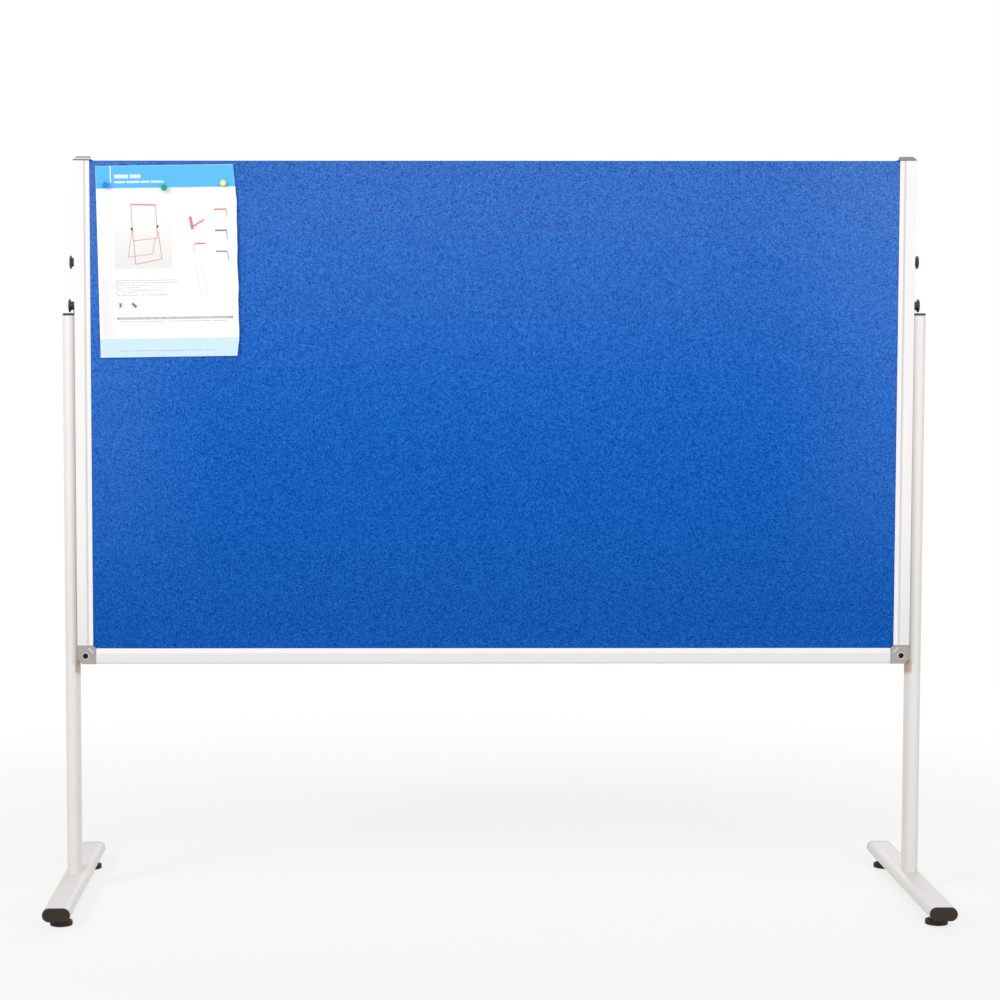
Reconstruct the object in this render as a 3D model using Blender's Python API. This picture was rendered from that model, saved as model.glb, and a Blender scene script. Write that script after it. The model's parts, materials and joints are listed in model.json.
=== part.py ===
"""Double-sided felt pinboard on two T-shaped legs, at rest, in metres with +Z up.

X runs along the board, -Y is its front and Z is 0 on the floor. The origin lies on the floor below
the middle of the feet. The board slides up and down on the two oval posts, which lie in a cradle
along each side bar, and a knob on each post's cap clamps it.
"""

import math

import bmesh
import bpy
from mathutils import Matrix, Vector

# Board as a whole
BOARD_WIDTH = 1.500
BOARD_HEIGHT = 0.9015
FLOOR_CLEARANCE = 0.4177
FRAME_DEPTH = 0.040
BAR_FACE = 0.0285

# Fits between pieces that touch and pieces that run past each other
SEAT_GAP = 0.0003
RUNNING_GAP = 0.0005
CUT_OVERRUN = 0.004
JOIN_OVERLAP = 0.001

# Oval tube of the posts and feet
OVAL_LONG = 0.048
OVAL_SHORT = 0.024
TUBE_WALL = 0.0015

# Legs
POST_TOP = 1.0443
FOOT_LENGTH = 0.550
POST_SETBACK = 0.020
FOOT_INSET = 0.003
FOOT_UNDERSIDE = 0.0125

# Side and bottom bars
BAR_WALL = 0.0016
CHAMBER_RADIUS = 0.0006
LIP_THICKNESS = 0.0024
LIP_DROP = 0.0011
LIP_EDGE_RADIUS = 0.0008
PANEL_GROOVE = 0.0098
FACE_LINE_WIDTH = 0.0012
FACE_LINE_DEPTH = 0.0005
LIP_LINE_OFFSET = 0.0047
LIP_LINE_WIDTH = 0.0010
LIP_LINE_DEPTH = 0.0004
SIDE_EDGE_RADIUS = 0.0007
BOTTOM_EDGE_RADIUS = 0.005

# Cradle and T-slot of the side bars
CRADLE_DEPTH = 0.0023
SLOT_MOUTH = 0.0070
SLOT_LIP = 0.0020
SLOT_WIDTH = 0.0160
SLOT_DEPTH = 0.0060

# Felt
FELT_THICKNESS = 0.0025
FELT_FOLD_RADIUS = 0.0032

# Corner pieces
CORNER_SIZE = 0.0335
CORNER_CHAMFER = 0.0085
CORNER_LEG = 0.030
CORNER_HOLE_INSET = 0.0146
CORNER_SEAT_DIAMETER = 0.0140
CORNER_SEAT_DEPTH = 0.0008
CORNER_RIB_LENGTH = 0.0130
CORNER_RIB_WIDTH = 0.0036
CORNER_RIB_HEIGHT = 0.0006
CORNER_RIB_OFFSET = 0.0088

# Corner screws
SCREW_HEAD_DIAMETER = 0.0098
SCREW_HEAD_HEIGHT = 0.0048
SCREW_HEAD_EDGE = 0.0006
SCREW_RECESS = 0.0012
SCREW_SHANK_DIAMETER = 0.0050
SCREW_SHANK_LENGTH = 0.0090
SCREW_SOCKET_WIDTH = 0.0050
SCREW_SOCKET_DEPTH = 0.0026

# End caps on the side bars
END_CAP_HEIGHT = 0.0080
END_CAP_OVERHANG = 0.0012
END_CAP_REACH = 0.0055
END_CAP_RADIUS = 0.0045
END_CAP_NOSE_RADIUS = 0.0010
END_CAP_SLOPE = 0.0035
END_CAP_LEG = 0.025

# Post caps with the clamp ear
POST_CAP_HEIGHT = 0.0050
POST_CAP_EDGE = 0.0026
POST_CAP_PLUG = 0.022
EAR_WIDTH = 0.0160
EAR_THICKNESS = 0.0045
EAR_SETBACK = 0.0005
EAR_CORNER_RADIUS = 0.0070
EAR_TOP_MARGIN = 0.0080

# Knobs
KNOB_DIAMETER = 0.0240
KNOB_THICKNESS = 0.0036
KNOB_EDGE = 0.0009
KNOB_DOME = 0.0005
KNOB_CROWN_SHARE = 0.62
KNOB_FLUTE_DEPTH = 0.0009
KNOB_FLUTES = 12
HUB_DIAMETER = 0.0160
CLAMP_HUB_LENGTH = 0.0051
STOP_HUB_LENGTH = 0.0077
STOP_PITCH = 0.0775

# Studs and T-nuts of the knobs
STUD_DIAMETER = 0.0060
STUD_GRIP = 0.0060
STUD_CHAMFER = 0.0008
NUT_THICKNESS = 0.0042
NUT_LENGTH = 0.0180
NUT_CHAMFER = 0.0014

# Guide shoes that run in the T-slots
SHOE_HEIGHT = 0.700
SHOE_LENGTH = 0.040
SHOE_HEAD_THICKNESS = 0.0042
SHOE_SCREW_SHANK = 0.0040
SHOE_SCREW_HEAD = 0.0074
SHOE_SCREW_HEAD_HEIGHT = 0.0022
SHOE_SCREW_REACH = 0.0090

# Joint of post and foot
INSERT_HEIGHT = 0.045
FOOT_BOLT_SHANK = 0.0080
FOOT_BOLT_HEAD = 0.0150
FOOT_BOLT_HEAD_HEIGHT = 0.0050
FOOT_BOLT_EDGE = 0.0014
FOOT_BOLT_GRIP = 0.032
FOOT_BOLT_SOCKET = 0.0060
FOOT_BOLT_SOCKET_DEPTH = 0.0024

# Foot end caps
FOOT_CAP_THICKNESS = 0.0028
FOOT_CAP_EDGE = 0.0010
FOOT_CAP_PLUG = 0.018

# Glides and the bushes that they screw into
GLIDE_INSETS = {"front": 0.037, "rear": 0.066}
GLIDE_INBOARD = 0.0045
PAD_DIAMETER = 0.0390
PAD_SIDE_HEIGHT = 0.0080
PAD_EDGE = 0.0014
PAD_NECK_DIAMETER = 0.0150
PAD_SLOPE_WIDTH = 0.0040
PAD_SLOPE_HEIGHT = 0.0010
PAD_FLOOR = 0.0040
STEM_DIAMETER = 0.0080
STEM_TOP_ROOM = 0.0030
STEM_CHAMFER = 0.0010
BUSH_FLANGE_DIAMETER = 0.0170
BUSH_FLANGE_HEIGHT = 0.0012
BUSH_BARREL_DIAMETER = 0.0120
BUSH_BARREL_HEIGHT = 0.0110

# Notice sheet and push pins
SHEET_WIDTH = 0.250
SHEET_HEIGHT = 0.342
SHEET_THICKNESS = 0.0008
SHEET_LEFT_MARGIN = 0.0143
SHEET_TOP_MARGIN = 0.0070
SHEET_TILT = math.radians(1.1)
PIN_HEAD_DIAMETER = 0.0105
PIN_HEAD_THICKNESS = 0.0026
PIN_HEAD_EDGE = 0.0008
PIN_WAIST_DIAMETER = 0.0056
PIN_WAIST_LENGTH = 0.0060
PIN_WAIST_FLARE = 0.0012
PIN_COLLAR_DIAMETER = 0.0092
PIN_COLLAR_THICKNESS = 0.0016
PIN_NEEDLE_DIAMETER = 0.0012
PIN_NEEDLE_LENGTH = 0.0095
PIN_NEEDLE_TIP = 0.0022
PIN_PLACE_SHARES = {"blue": (0.0696, 0.102), "green": (0.4861, 0.121), "yellow": (0.9065, 0.103)}

# Roundness of curves
OVAL_STEPS = 10
TURN_STEPS = 24
FINE_STEPS = 16
CORNER_STEPS = 4
EDGE_STEPS = 2
FLUTE_STEPS = 3
HEX_SIDES = 6
SMOOTH_ANGLE = math.radians(32)

# Places that follow from the sizes above
half_width = BOARD_WIDTH / 2
half_depth = FRAME_DEPTH / 2
board_y = POST_SETBACK
board_top = FLOOR_CLEARANCE + BOARD_HEIGHT
groove_floor = BAR_FACE - PANEL_GROOVE
lip_inside = half_depth - LIP_THICKNESS
slot_roof = CRADLE_DEPTH + SLOT_LIP
slot_floor = slot_roof + SLOT_DEPTH
chamber_near = CRADLE_DEPTH + BAR_WALL
chamber_far = groove_floor - BAR_WALL
chamber_inside = SLOT_WIDTH / 2 + BAR_WALL
chamber_outside = half_depth - BAR_WALL
post_inner_x = half_width - CRADLE_DEPTH + SEAT_GAP
post_x = post_inner_x + OVAL_SHORT / 2
foot_x = post_x - FOOT_INSET
foot_axis_z = FOOT_UNDERSIDE + OVAL_SHORT / 2
foot_top = FOOT_UNDERSIDE + OVAL_SHORT
post_bottom = foot_top + SEAT_GAP
cap_seat = POST_TOP + SEAT_GAP
cap_top = cap_seat + POST_CAP_HEIGHT
ear_inner_x = post_inner_x + EAR_SETBACK
ear_outer_x = ear_inner_x + EAR_THICKNESS
clamp_z = cap_top + SEAT_GAP + KNOB_DIAMETER / 2
stop_z = clamp_z + STOP_PITCH
nut_near = slot_roof + SEAT_GAP
nut_far = nut_near + NUT_THICKNESS
panel_edge = groove_floor + SEAT_GAP
felt_face = lip_inside - SEAT_GAP
felt_back = felt_face - FELT_THICKNESS
core_face = felt_back - SEAT_GAP
sheet_face = felt_face + SEAT_GAP + SHEET_THICKNESS
pin_seat = sheet_face + SEAT_GAP
bush_seat = FOOT_UNDERSIDE - SEAT_GAP
pad_top = bush_seat - BUSH_FLANGE_HEIGHT - SEAT_GAP
glide_x = foot_x - GLIDE_INBOARD

SIDES = {"left": -1, "right": 1}
ENDS = {"front": -1, "rear": 1}


# Modelling steps that many pieces share


def clear_scene():
    for old in list(bpy.data.objects):
        bpy.data.objects.remove(old, do_unlink=True)


def material(name, color, roughness, metallic=0.0):
    """A plain surface of one colour."""
    surface = bpy.data.materials.new(name)
    surface.use_nodes = True
    shader = surface.node_tree.nodes["Principled BSDF"]
    shader.inputs["Base Color"].default_value = (*color, 1.0)
    shader.inputs["Roughness"].default_value = roughness
    shader.inputs["Metallic"].default_value = metallic
    surface.diffuse_color = (*color, 1.0)
    return surface


def carrier(name, location, parent=None):
    """An empty that carries the pieces of one moving part."""
    frame = bpy.data.objects.new(name, None)
    frame.location = location
    frame.parent = parent
    bpy.context.scene.collection.objects.link(frame)
    return frame


def on_plane(a, b, c, plane):
    """The point (a, b) of an outline in a plane, at height c square to it."""
    return {"XY": (a, b, c), "XZ": (a, c, b), "YZ": (c, a, b)}[plane]


def finish(name, bm, surface, location, parent):
    """Makes a placed object of a bmesh, with its faces outwards and its round faces smooth."""
    bm.normal_update()
    bmesh.ops.recalc_face_normals(bm, faces=bm.faces)
    mesh = bpy.data.meshes.new(name)
    bm.to_mesh(mesh)
    bm.free()
    mesh.shade_smooth()
    mesh.set_sharp_from_angle(angle=SMOOTH_ANGLE)
    mesh.materials.append(surface)
    piece = bpy.data.objects.new(name, mesh)
    bpy.context.scene.collection.objects.link(piece)
    piece.location = location
    if parent:
        piece.parent = parent
        piece.location = Vector(location) - parent.location
    return piece


def prism(name, loops, low, high, plane, surface, location, parent=None):
    """One outline, less the outlines inside it, drawn out square to their plane."""
    bm = bmesh.new()
    for loop in loops:
        corners = [bm.verts.new((a, b, low)) for a, b in loop]
        for i, corner in enumerate(corners):
            bm.edges.new((corners[i - 1], corner))
    bmesh.ops.triangle_fill(bm, use_beauty=True, edges=bm.edges[:])
    drawn = bmesh.ops.extrude_face_region(bm, geom=bm.faces[:])["geom"]
    moved = [item for item in drawn if isinstance(item, bmesh.types.BMVert)]
    bmesh.ops.translate(bm, vec=(0, 0, high - low), verts=moved)
    for vert in bm.verts:
        vert.co = on_plane(*vert.co, plane)
    return finish(name, bm, surface, location, parent)


def lofted(name, rings, plane, surface, location, parent=None):
    """A skin through outlines with equal numbers of points, each at its height."""
    bm = bmesh.new()
    rows = [[bm.verts.new(on_plane(a, b, height, plane)) for a, b in ring] for ring, height in rings]
    for low, high in zip(rows, rows[1:]):
        for i in range(len(low)):
            bm.faces.new((low[i - 1], low[i], high[i], high[i - 1]))
    bm.faces.new(rows[0])
    bm.faces.new(rows[-1])
    return finish(name, bm, surface, location, parent)


def turned(name, profile, plane, surface, location, parent=None, steps=TURN_STEPS):
    """A turned solid through (radius, height) points, from axis to axis, or a closed ring."""
    bm = bmesh.new()
    rows = []
    for radius, height in profile:
        turns = [2 * math.pi * k / steps for k in range(steps if radius else 1)]
        points = [(radius * math.cos(turn), radius * math.sin(turn)) for turn in turns]
        rows.append([bm.verts.new(on_plane(a, b, height, plane)) for a, b in points])
    pairs = list(zip(rows, rows[1:]))
    if profile[0][0] and profile[-1][0]:
        pairs.append((rows[-1], rows[0]))
    for low, high in pairs:
        for k in range(steps):
            after = k + 1
            corners = [low[k % len(low)], low[after % len(low)]]
            corners += [high[after % len(high)], high[k % len(high)]]
            bm.faces.new(tuple(dict.fromkeys(corners)))
    return finish(name, bm, surface, location, parent)


def combine(piece, other, operation):
    """Cuts another shape from a piece or joins it on, and keeps that shape as a hidden helper."""
    change = piece.modifiers.new(other.name, "BOOLEAN")
    change.object = other
    change.operation = operation
    change.solver = "EXACT"
    other.hide_render = True
    other.display_type = "WIRE"


def cut(piece, *cutters):
    for cutter in cutters:
        combine(piece, cutter, "DIFFERENCE")


def join(piece, *additions):
    for addition in additions:
        combine(piece, addition, "UNION")


def circle(diameter, steps=TURN_STEPS, middle=(0, 0)):
    turns = [2 * math.pi * k / steps for k in range(steps)]
    return [
        (middle[0] + diameter / 2 * math.cos(turn), middle[1] + diameter / 2 * math.sin(turn))
        for turn in turns
    ]


def oval(grow=0.0):
    """Outline of the oval tube with its long side along the first axis, offset outwards."""
    straight = (OVAL_LONG - OVAL_SHORT) / 2
    radius = OVAL_SHORT / 2 + grow
    points = []
    for middle, start in ((straight, -math.pi / 2), (-straight, math.pi / 2)):
        for k in range(OVAL_STEPS + 1):
            turn = start + math.pi * k / OVAL_STEPS
            points.append((middle + radius * math.cos(turn), radius * math.sin(turn)))
    return points


def upright_oval(grow=0.0):
    """The same outline with its long side along the second axis."""
    return [(b, a) for a, b in oval(grow)]


def rounded(corners, steps=CORNER_STEPS):
    """Outline through (a, b, radius) corners, with an arc where the radius isn't zero."""
    points = []
    for i, (a, b, radius) in enumerate(corners):
        here = Vector((a, b))
        if not radius:
            points.append((a, b))
            continue
        before = (Vector(corners[i - 1][:2]) - here).normalized()
        after = (Vector(corners[(i + 1) % len(corners)][:2]) - here).normalized()
        half = before.angle(after) / 2
        centre = here + (before + after).normalized() * (radius / math.sin(half))
        first = here + before * (radius / math.tan(half)) - centre
        last = here + after * (radius / math.tan(half)) - centre
        sweep = math.copysign(math.pi - 2 * half, first.x * last.y - first.y * last.x)
        for k in range(steps + 1):
            points.append(tuple(centre + Matrix.Rotation(sweep * k / steps, 2) @ first))
    return points


def rectangle(a_low, a_high, b_low, b_high, radius=0.0):
    corners = ((a_low, b_low), (a_high, b_low), (a_high, b_high), (a_low, b_high))
    return rounded([(a, b, radius) for a, b in corners])


def edge_rings(outline, face, edge, toward=1):
    """Rings over an outline's rounded edge, from its side to its face."""
    rings = []
    for k in range(EDGE_STEPS + 1):
        turn = math.pi / 2 * k / EDGE_STEPS
        grow = edge * (math.cos(turn) - 1)
        rings.append((outline(grow), face + toward * edge * (math.sin(turn) - 1)))
    return rings


# The frame's bars, corners and end caps


def bar_half(outer_radius, lip_line=()):
    """Rear half of a bar's section as (distance from its outer face, offset in depth, radius)."""
    line_start = groove_floor - FACE_LINE_WIDTH
    return [
        (0, half_depth, outer_radius),
        (line_start, half_depth, 0),
        (line_start + FACE_LINE_WIDTH / 2, half_depth - FACE_LINE_DEPTH, 0),
        (groove_floor, half_depth, 0),
        *lip_line,
        (BAR_FACE, half_depth - LIP_DROP, LIP_EDGE_RADIUS),
        (BAR_FACE, lip_inside, 0),
        (groove_floor, lip_inside, 0),
    ]


def mirrored(half):
    return [(distance, -offset, radius) for distance, offset, radius in reversed(half)]


def side_bar_loops():
    """Section of a side bar: panel groove within, T-slot without and three chambers between."""
    mouth = SLOT_MOUTH / 2
    slot = SLOT_WIDTH / 2
    half = bar_half(SIDE_EDGE_RADIUS)
    slot_corners = [
        (0, -mouth, 0),
        (slot_roof, -mouth, 0),
        (slot_roof, -slot, 0),
        (slot_floor, -slot, 0),
        (slot_floor, slot, 0),
        (slot_roof, slot, 0),
        (slot_roof, mouth, 0),
        (0, mouth, 0),
    ]
    middle_near = slot_floor + BAR_WALL
    return [
        rounded(half + mirrored(half) + slot_corners),
        rectangle(chamber_near, chamber_far, chamber_inside, chamber_outside, CHAMBER_RADIUS),
        rectangle(chamber_near, chamber_far, -chamber_outside, -chamber_inside, CHAMBER_RADIUS),
        rectangle(middle_near, chamber_far, -slot, slot, CHAMBER_RADIUS),
    ]


def inward(loops, side):
    """Turns distances from the board's outer face into X on one side."""
    return [[(-side * distance, offset) for distance, offset in loop] for loop in loops]


def cradle_cutter(name, side, board):
    """The post's own outline with its gap, over the whole height of the board."""
    low = FLOOR_CLEARANCE - CUT_OVERRUN
    high = board_top + CUT_OVERRUN
    place = (side * post_x, board_y, 0)
    return prism(name, [upright_oval(SEAT_GAP)], low, high, "XY", plastic_black, place, board)


def add_side_bar(word, side, board):
    place = (side * half_width, board_y, 0)
    low = FLOOR_CLEARANCE + CORNER_SIZE + SEAT_GAP
    loops = inward(side_bar_loops(), side)
    bar = prism(f"side_bar_{word}", loops, low, board_top, "XY", white_coat, place, board)
    cut(bar, cradle_cutter(f"cut_side_bar_cradle_{word}", side, board))


def lip_line():
    """Fine groove along the bottom bar's sloping lip."""
    middle = BAR_FACE - LIP_LINE_OFFSET
    points = []
    for step, depth in ((-1, 0), (0, LIP_LINE_DEPTH), (1, 0)):
        distance = middle + step * LIP_LINE_WIDTH / 2
        drop = LIP_DROP * (distance - groove_floor) / PANEL_GROOVE
        points.append((distance, half_depth - drop - depth, 0))
    return points


def add_bottom_bar(board):
    half = bar_half(BOTTOM_EDGE_RADIUS, lip_line())
    chamber_radius = BOTTOM_EDGE_RADIUS - BAR_WALL
    chamber = rounded(
        [
            (BAR_WALL, -chamber_outside, chamber_radius),
            (chamber_far, -chamber_outside, CHAMBER_RADIUS),
            (chamber_far, chamber_outside, CHAMBER_RADIUS),
            (BAR_WALL, chamber_outside, chamber_radius),
        ]
    )
    loops = [
        [(offset, distance) for distance, offset in loop]
        for loop in (rounded(half + mirrored(half)), chamber)
    ]
    reach = half_width - CORNER_SIZE - SEAT_GAP
    place = (0, board_y, FLOOR_CLEARANCE)
    prism("bottom_bar", loops, -reach, reach, "YZ", white_coat, place, board)


def chamber_leg(name, side, end, low, high, place, board):
    """A leg that fits one of a side bar's two outer chambers."""
    near = -side * (chamber_near + RUNNING_GAP)
    far = -side * (chamber_far - RUNNING_GAP)
    inside = end * (chamber_inside + RUNNING_GAP)
    outside = end * (chamber_outside - RUNNING_GAP)
    outline = rectangle(near, far, inside, outside)
    return prism(name, [outline], low, high, "XY", plastic_grey, place, board)


def screw_pocket(name, end, place, board):
    """Counterbore and pilot hole for a corner screw, from one face inwards."""
    seat_radius = CORNER_SEAT_DIAMETER / 2
    head_radius = SCREW_HEAD_DIAMETER / 2 + SEAT_GAP
    shank_radius = SCREW_SHANK_DIAMETER / 2 + SEAT_GAP
    head_floor = SCREW_RECESS + SCREW_HEAD_HEIGHT + SEAT_GAP
    pilot_floor = head_floor + SCREW_SHANK_LENGTH + SEAT_GAP
    depths = [
        (0, -CUT_OVERRUN),
        (seat_radius, -CUT_OVERRUN),
        (seat_radius, CORNER_SEAT_DEPTH),
        (head_radius, CORNER_SEAT_DEPTH),
        (head_radius, head_floor),
        (shank_radius, head_floor),
        (shank_radius, pilot_floor),
        (0, pilot_floor),
    ]
    profile = [(radius, end * (half_depth - depth)) for radius, depth in depths]
    return turned(name, profile, "XZ", plastic_grey, place, board)


def corner_rib(name, side, end, place, board):
    """The moulded rib that runs beside a corner piece's inner chamfer."""
    chamfer_middle = (BAR_FACE + CORNER_SIZE) / 2
    middle = chamfer_middle - CORNER_RIB_OFFSET * math.sqrt(0.5)
    along = Vector((1, -1)).normalized() * CORNER_RIB_LENGTH / 2
    across = Vector((1, 1)).normalized() * CORNER_RIB_WIDTH / 2
    corners = (along + across, -along + across, -along - across, along - across)
    outline = [(-side * (middle + corner.x), middle + corner.y) for corner in corners]
    inner = end * (half_depth - JOIN_OVERLAP)
    outer = end * (half_depth + CORNER_RIB_HEIGHT)
    return prism(name, [outline], inner, outer, "XZ", plastic_grey, place, board)


def add_corner(word, side, board):
    """Moulded corner with legs into both bars, a pocket for the panel and a screw in each face."""
    place = (side * half_width, board_y, FLOOR_CLEARANCE)
    outline = [
        (0, CORNER_CHAMFER),
        (CORNER_CHAMFER, 0),
        (CORNER_SIZE, 0),
        (CORNER_SIZE, BAR_FACE),
        (BAR_FACE, CORNER_SIZE),
        (0, CORNER_SIZE),
    ]
    loop = [(-side * across, up) for across, up in outline]
    corner = prism(
        f"corner_{word}", [loop], -half_depth, half_depth, "XZ", plastic_grey, place, board
    )
    leg_low = CORNER_SIZE - JOIN_OVERLAP
    leg_high = CORNER_SIZE + CORNER_LEG
    for end_word, end in ENDS.items():
        name = f"join_corner_{word}_leg_{end_word}"
        join(corner, chamber_leg(name, side, end, leg_low, leg_high, place, board))
        join(corner, corner_rib(f"join_corner_{word}_rib_{end_word}", side, end, place, board))
    width = chamber_outside - RUNNING_GAP
    leg_radius = BOTTOM_EDGE_RADIUS - BAR_WALL
    low = BAR_WALL + RUNNING_GAP
    high = chamber_far - RUNNING_GAP
    leg_outline = rounded(
        [(-width, low, leg_radius), (width, low, leg_radius), (width, high, 0), (-width, high, 0)]
    )
    near, far = -side * leg_low, -side * leg_high
    name = f"join_corner_{word}_leg_across"
    join(corner, prism(name, [leg_outline], near, far, "YZ", plastic_grey, place, board))
    beyond = CORNER_SIZE + CUT_OVERRUN
    near, far = -side * groove_floor, -side * beyond
    pocket = rectangle(near, far, groove_floor, beyond)
    name = f"cut_corner_{word}_panel"
    cut(corner, prism(name, [pocket], -lip_inside, lip_inside, "XZ", plastic_grey, place, board))
    cut(corner, cradle_cutter(f"cut_corner_{word}_cradle", side, board))
    across = side * (half_width - CORNER_HOLE_INSET)
    hole_place = (across, board_y, FLOOR_CLEARANCE + CORNER_HOLE_INSET)
    for end_word, end in ENDS.items():
        name = f"cut_corner_{word}_screw_{end_word}"
        cut(corner, screw_pocket(name, end, hole_place, board))
        add_corner_screw(f"corner_screw_{word}_{end_word}", end, hole_place, board)


def add_corner_screw(name, end, place, board):
    """Black socket screw whose head lies just below the corner's face."""
    head_radius = SCREW_HEAD_DIAMETER / 2
    shank_radius = SCREW_SHANK_DIAMETER / 2
    head_floor = SCREW_RECESS + SCREW_HEAD_HEIGHT
    tip = head_floor + SCREW_SHANK_LENGTH
    depths = [
        (0, SCREW_RECESS),
        (head_radius - SCREW_HEAD_EDGE, SCREW_RECESS),
        (head_radius, SCREW_RECESS + SCREW_HEAD_EDGE),
        (head_radius, head_floor),
        (shank_radius, head_floor),
        (shank_radius, tip),
        (0, tip),
    ]
    profile = [(radius, end * (half_depth - depth)) for radius, depth in depths]
    screw = turned(name, profile, "XZ", steel_black, place, board, FINE_STEPS)
    inner = end * (half_depth - SCREW_RECESS - SCREW_SOCKET_DEPTH)
    outer = end * (half_depth + CUT_OVERRUN)
    outline = circle(SCREW_SOCKET_WIDTH, HEX_SIDES)
    cut(screw, prism(f"cut_{name}_socket", [outline], inner, outer, "XZ", steel_black, place, board))


def add_end_cap(word, side, board):
    """Moulded cap on a side bar's top, which also keeps the panel's corner down."""
    place = (side * half_width, board_y, board_top)
    high = SEAT_GAP + END_CAP_HEIGHT
    reach = BAR_FACE + END_CAP_REACH
    corners = [
        (-END_CAP_OVERHANG, SEAT_GAP, 0),
        (-END_CAP_OVERHANG, high, END_CAP_RADIUS),
        (reach - END_CAP_SLOPE, high, END_CAP_NOSE_RADIUS),
        (reach, SEAT_GAP, 0),
    ]
    loop = [(-side * across, up) for across, up in rounded(corners)]
    depth = half_depth + END_CAP_OVERHANG
    cap = prism(f"end_cap_{word}", [loop], -depth, depth, "XZ", plastic_grey, place, board)
    for end_word, end in ENDS.items():
        name = f"join_end_cap_{word}_leg_{end_word}"
        leg_high = SEAT_GAP + JOIN_OVERLAP
        join(cap, chamber_leg(name, side, end, -END_CAP_LEG, leg_high, place, board))


# The panel: a core with one felt cover folded over its top edge


def needle_cutter(name, place, board):
    """Room for a pin's needle, from the face of the sheet into the core."""
    diameter = PIN_NEEDLE_DIAMETER + 2 * SEAT_GAP
    deep = PIN_NEEDLE_LENGTH + SEAT_GAP
    outline = circle(diameter, FINE_STEPS)
    return prism(name, [outline], -CUT_OVERRUN, deep, "XZ", steel_bright, place, board)


def add_panel(board):
    reach = half_width - panel_edge
    low = FLOOR_CLEARANCE + panel_edge
    core_top = board_top - FELT_THICKNESS - SEAT_GAP
    place = (0, board_y, 0)
    core_loop = rectangle(-core_face, core_face, low, core_top)
    core = prism("panel_core", [core_loop], -reach, reach, "YZ", core_board, place, board)
    fold = FELT_FOLD_RADIUS
    inner_fold = max(fold - FELT_THICKNESS, 0)
    felt_loop = rounded(
        [
            (-felt_face, low, 0),
            (-felt_face, board_top, fold),
            (felt_face, board_top, fold),
            (felt_face, low, 0),
            (felt_back, low, 0),
            (felt_back, board_top - FELT_THICKNESS, inner_fold),
            (-felt_back, board_top - FELT_THICKNESS, inner_fold),
            (-felt_back, low, 0),
        ]
    )
    felt = prism("felt_cover", [felt_loop], -reach, reach, "YZ", felt_blue, place, board)
    for color in PIN_PLACE_SHARES:
        for name, layer in (("core", core), ("felt", felt)):
            cut(layer, needle_cutter(f"cut_{name}_needle_{color}", pin_place(color), board))


def sheet_centre():
    across = -half_width + BAR_FACE + SHEET_LEFT_MARGIN + SHEET_WIDTH / 2
    up = board_top - SHEET_TOP_MARGIN - SHEET_HEIGHT / 2
    return across, up


def on_sheet(across, up):
    """A point of the tilted sheet from its centre, as X and Z from that centre."""
    point = Matrix.Rotation(SHEET_TILT, 2) @ Vector((across, up))
    return point.x, point.y


def pin_offset(color):
    across_share, down_share = PIN_PLACE_SHARES[color]
    return on_sheet((across_share - 1 / 2) * SHEET_WIDTH, (1 / 2 - down_share) * SHEET_HEIGHT)


def pin_place(color):
    across, up = sheet_centre()
    offset = pin_offset(color)
    return across + offset[0], board_y - pin_seat, up + offset[1]


def add_notice_sheet(board):
    """The sheet of paper that the pins hold, with a hole at each needle."""
    across, up = sheet_centre()
    edge = rectangle(-SHEET_WIDTH / 2, SHEET_WIDTH / 2, -SHEET_HEIGHT / 2, SHEET_HEIGHT / 2)
    diameter = PIN_NEEDLE_DIAMETER + 2 * SEAT_GAP
    holes = [circle(diameter, FINE_STEPS, pin_offset(color)) for color in PIN_PLACE_SHARES]
    loops = [[on_sheet(a, b) for a, b in edge], *holes]
    place = (across, board_y - sheet_face, up)
    prism("notice_sheet", loops, 0, SHEET_THICKNESS, "XZ", paper_white, place, board)


def add_push_pin(color, surface, board):
    """Moulded head and steel needle in one, with the origin where the needle leaves the collar."""
    needle = PIN_NEEDLE_DIAMETER / 2
    collar = PIN_COLLAR_DIAMETER / 2
    waist = PIN_WAIST_DIAMETER / 2
    head = PIN_HEAD_DIAMETER / 2
    waist_start = PIN_COLLAR_THICKNESS
    waist_end = waist_start + PIN_WAIST_LENGTH
    top = waist_end + PIN_HEAD_THICKNESS
    profile = [
        (0, PIN_NEEDLE_LENGTH),
        (needle, PIN_NEEDLE_LENGTH - PIN_NEEDLE_TIP),
        (needle, 0),
        (collar, 0),
        (collar, -waist_start),
        (waist, -waist_start - PIN_WAIST_FLARE),
        (waist, PIN_WAIST_FLARE - waist_end),
        (head, -waist_end),
        (head, PIN_HEAD_EDGE - top),
        (head - PIN_HEAD_EDGE, -top),
        (0, -top),
    ]
    place = pin_place(color)
    frame = carrier(f"pin_{color}", place, board)
    turned(f"push_pin_{color}", profile, "XZ", surface, place, frame, FINE_STEPS)


# Knobs, studs and T-nuts


def fluted(grow=0.0):
    """Outline of a knob with shallow flutes, offset outwards."""
    count = KNOB_FLUTES * FLUTE_STEPS
    points = []
    for k in range(count):
        turn = 2 * math.pi * k / count
        dip = KNOB_FLUTE_DEPTH * (1 - math.cos(KNOB_FLUTES * turn)) / 2
        radius = KNOB_DIAMETER / 2 + grow - dip
        points.append((radius * math.cos(turn), radius * math.sin(turn)))
    return points


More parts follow.
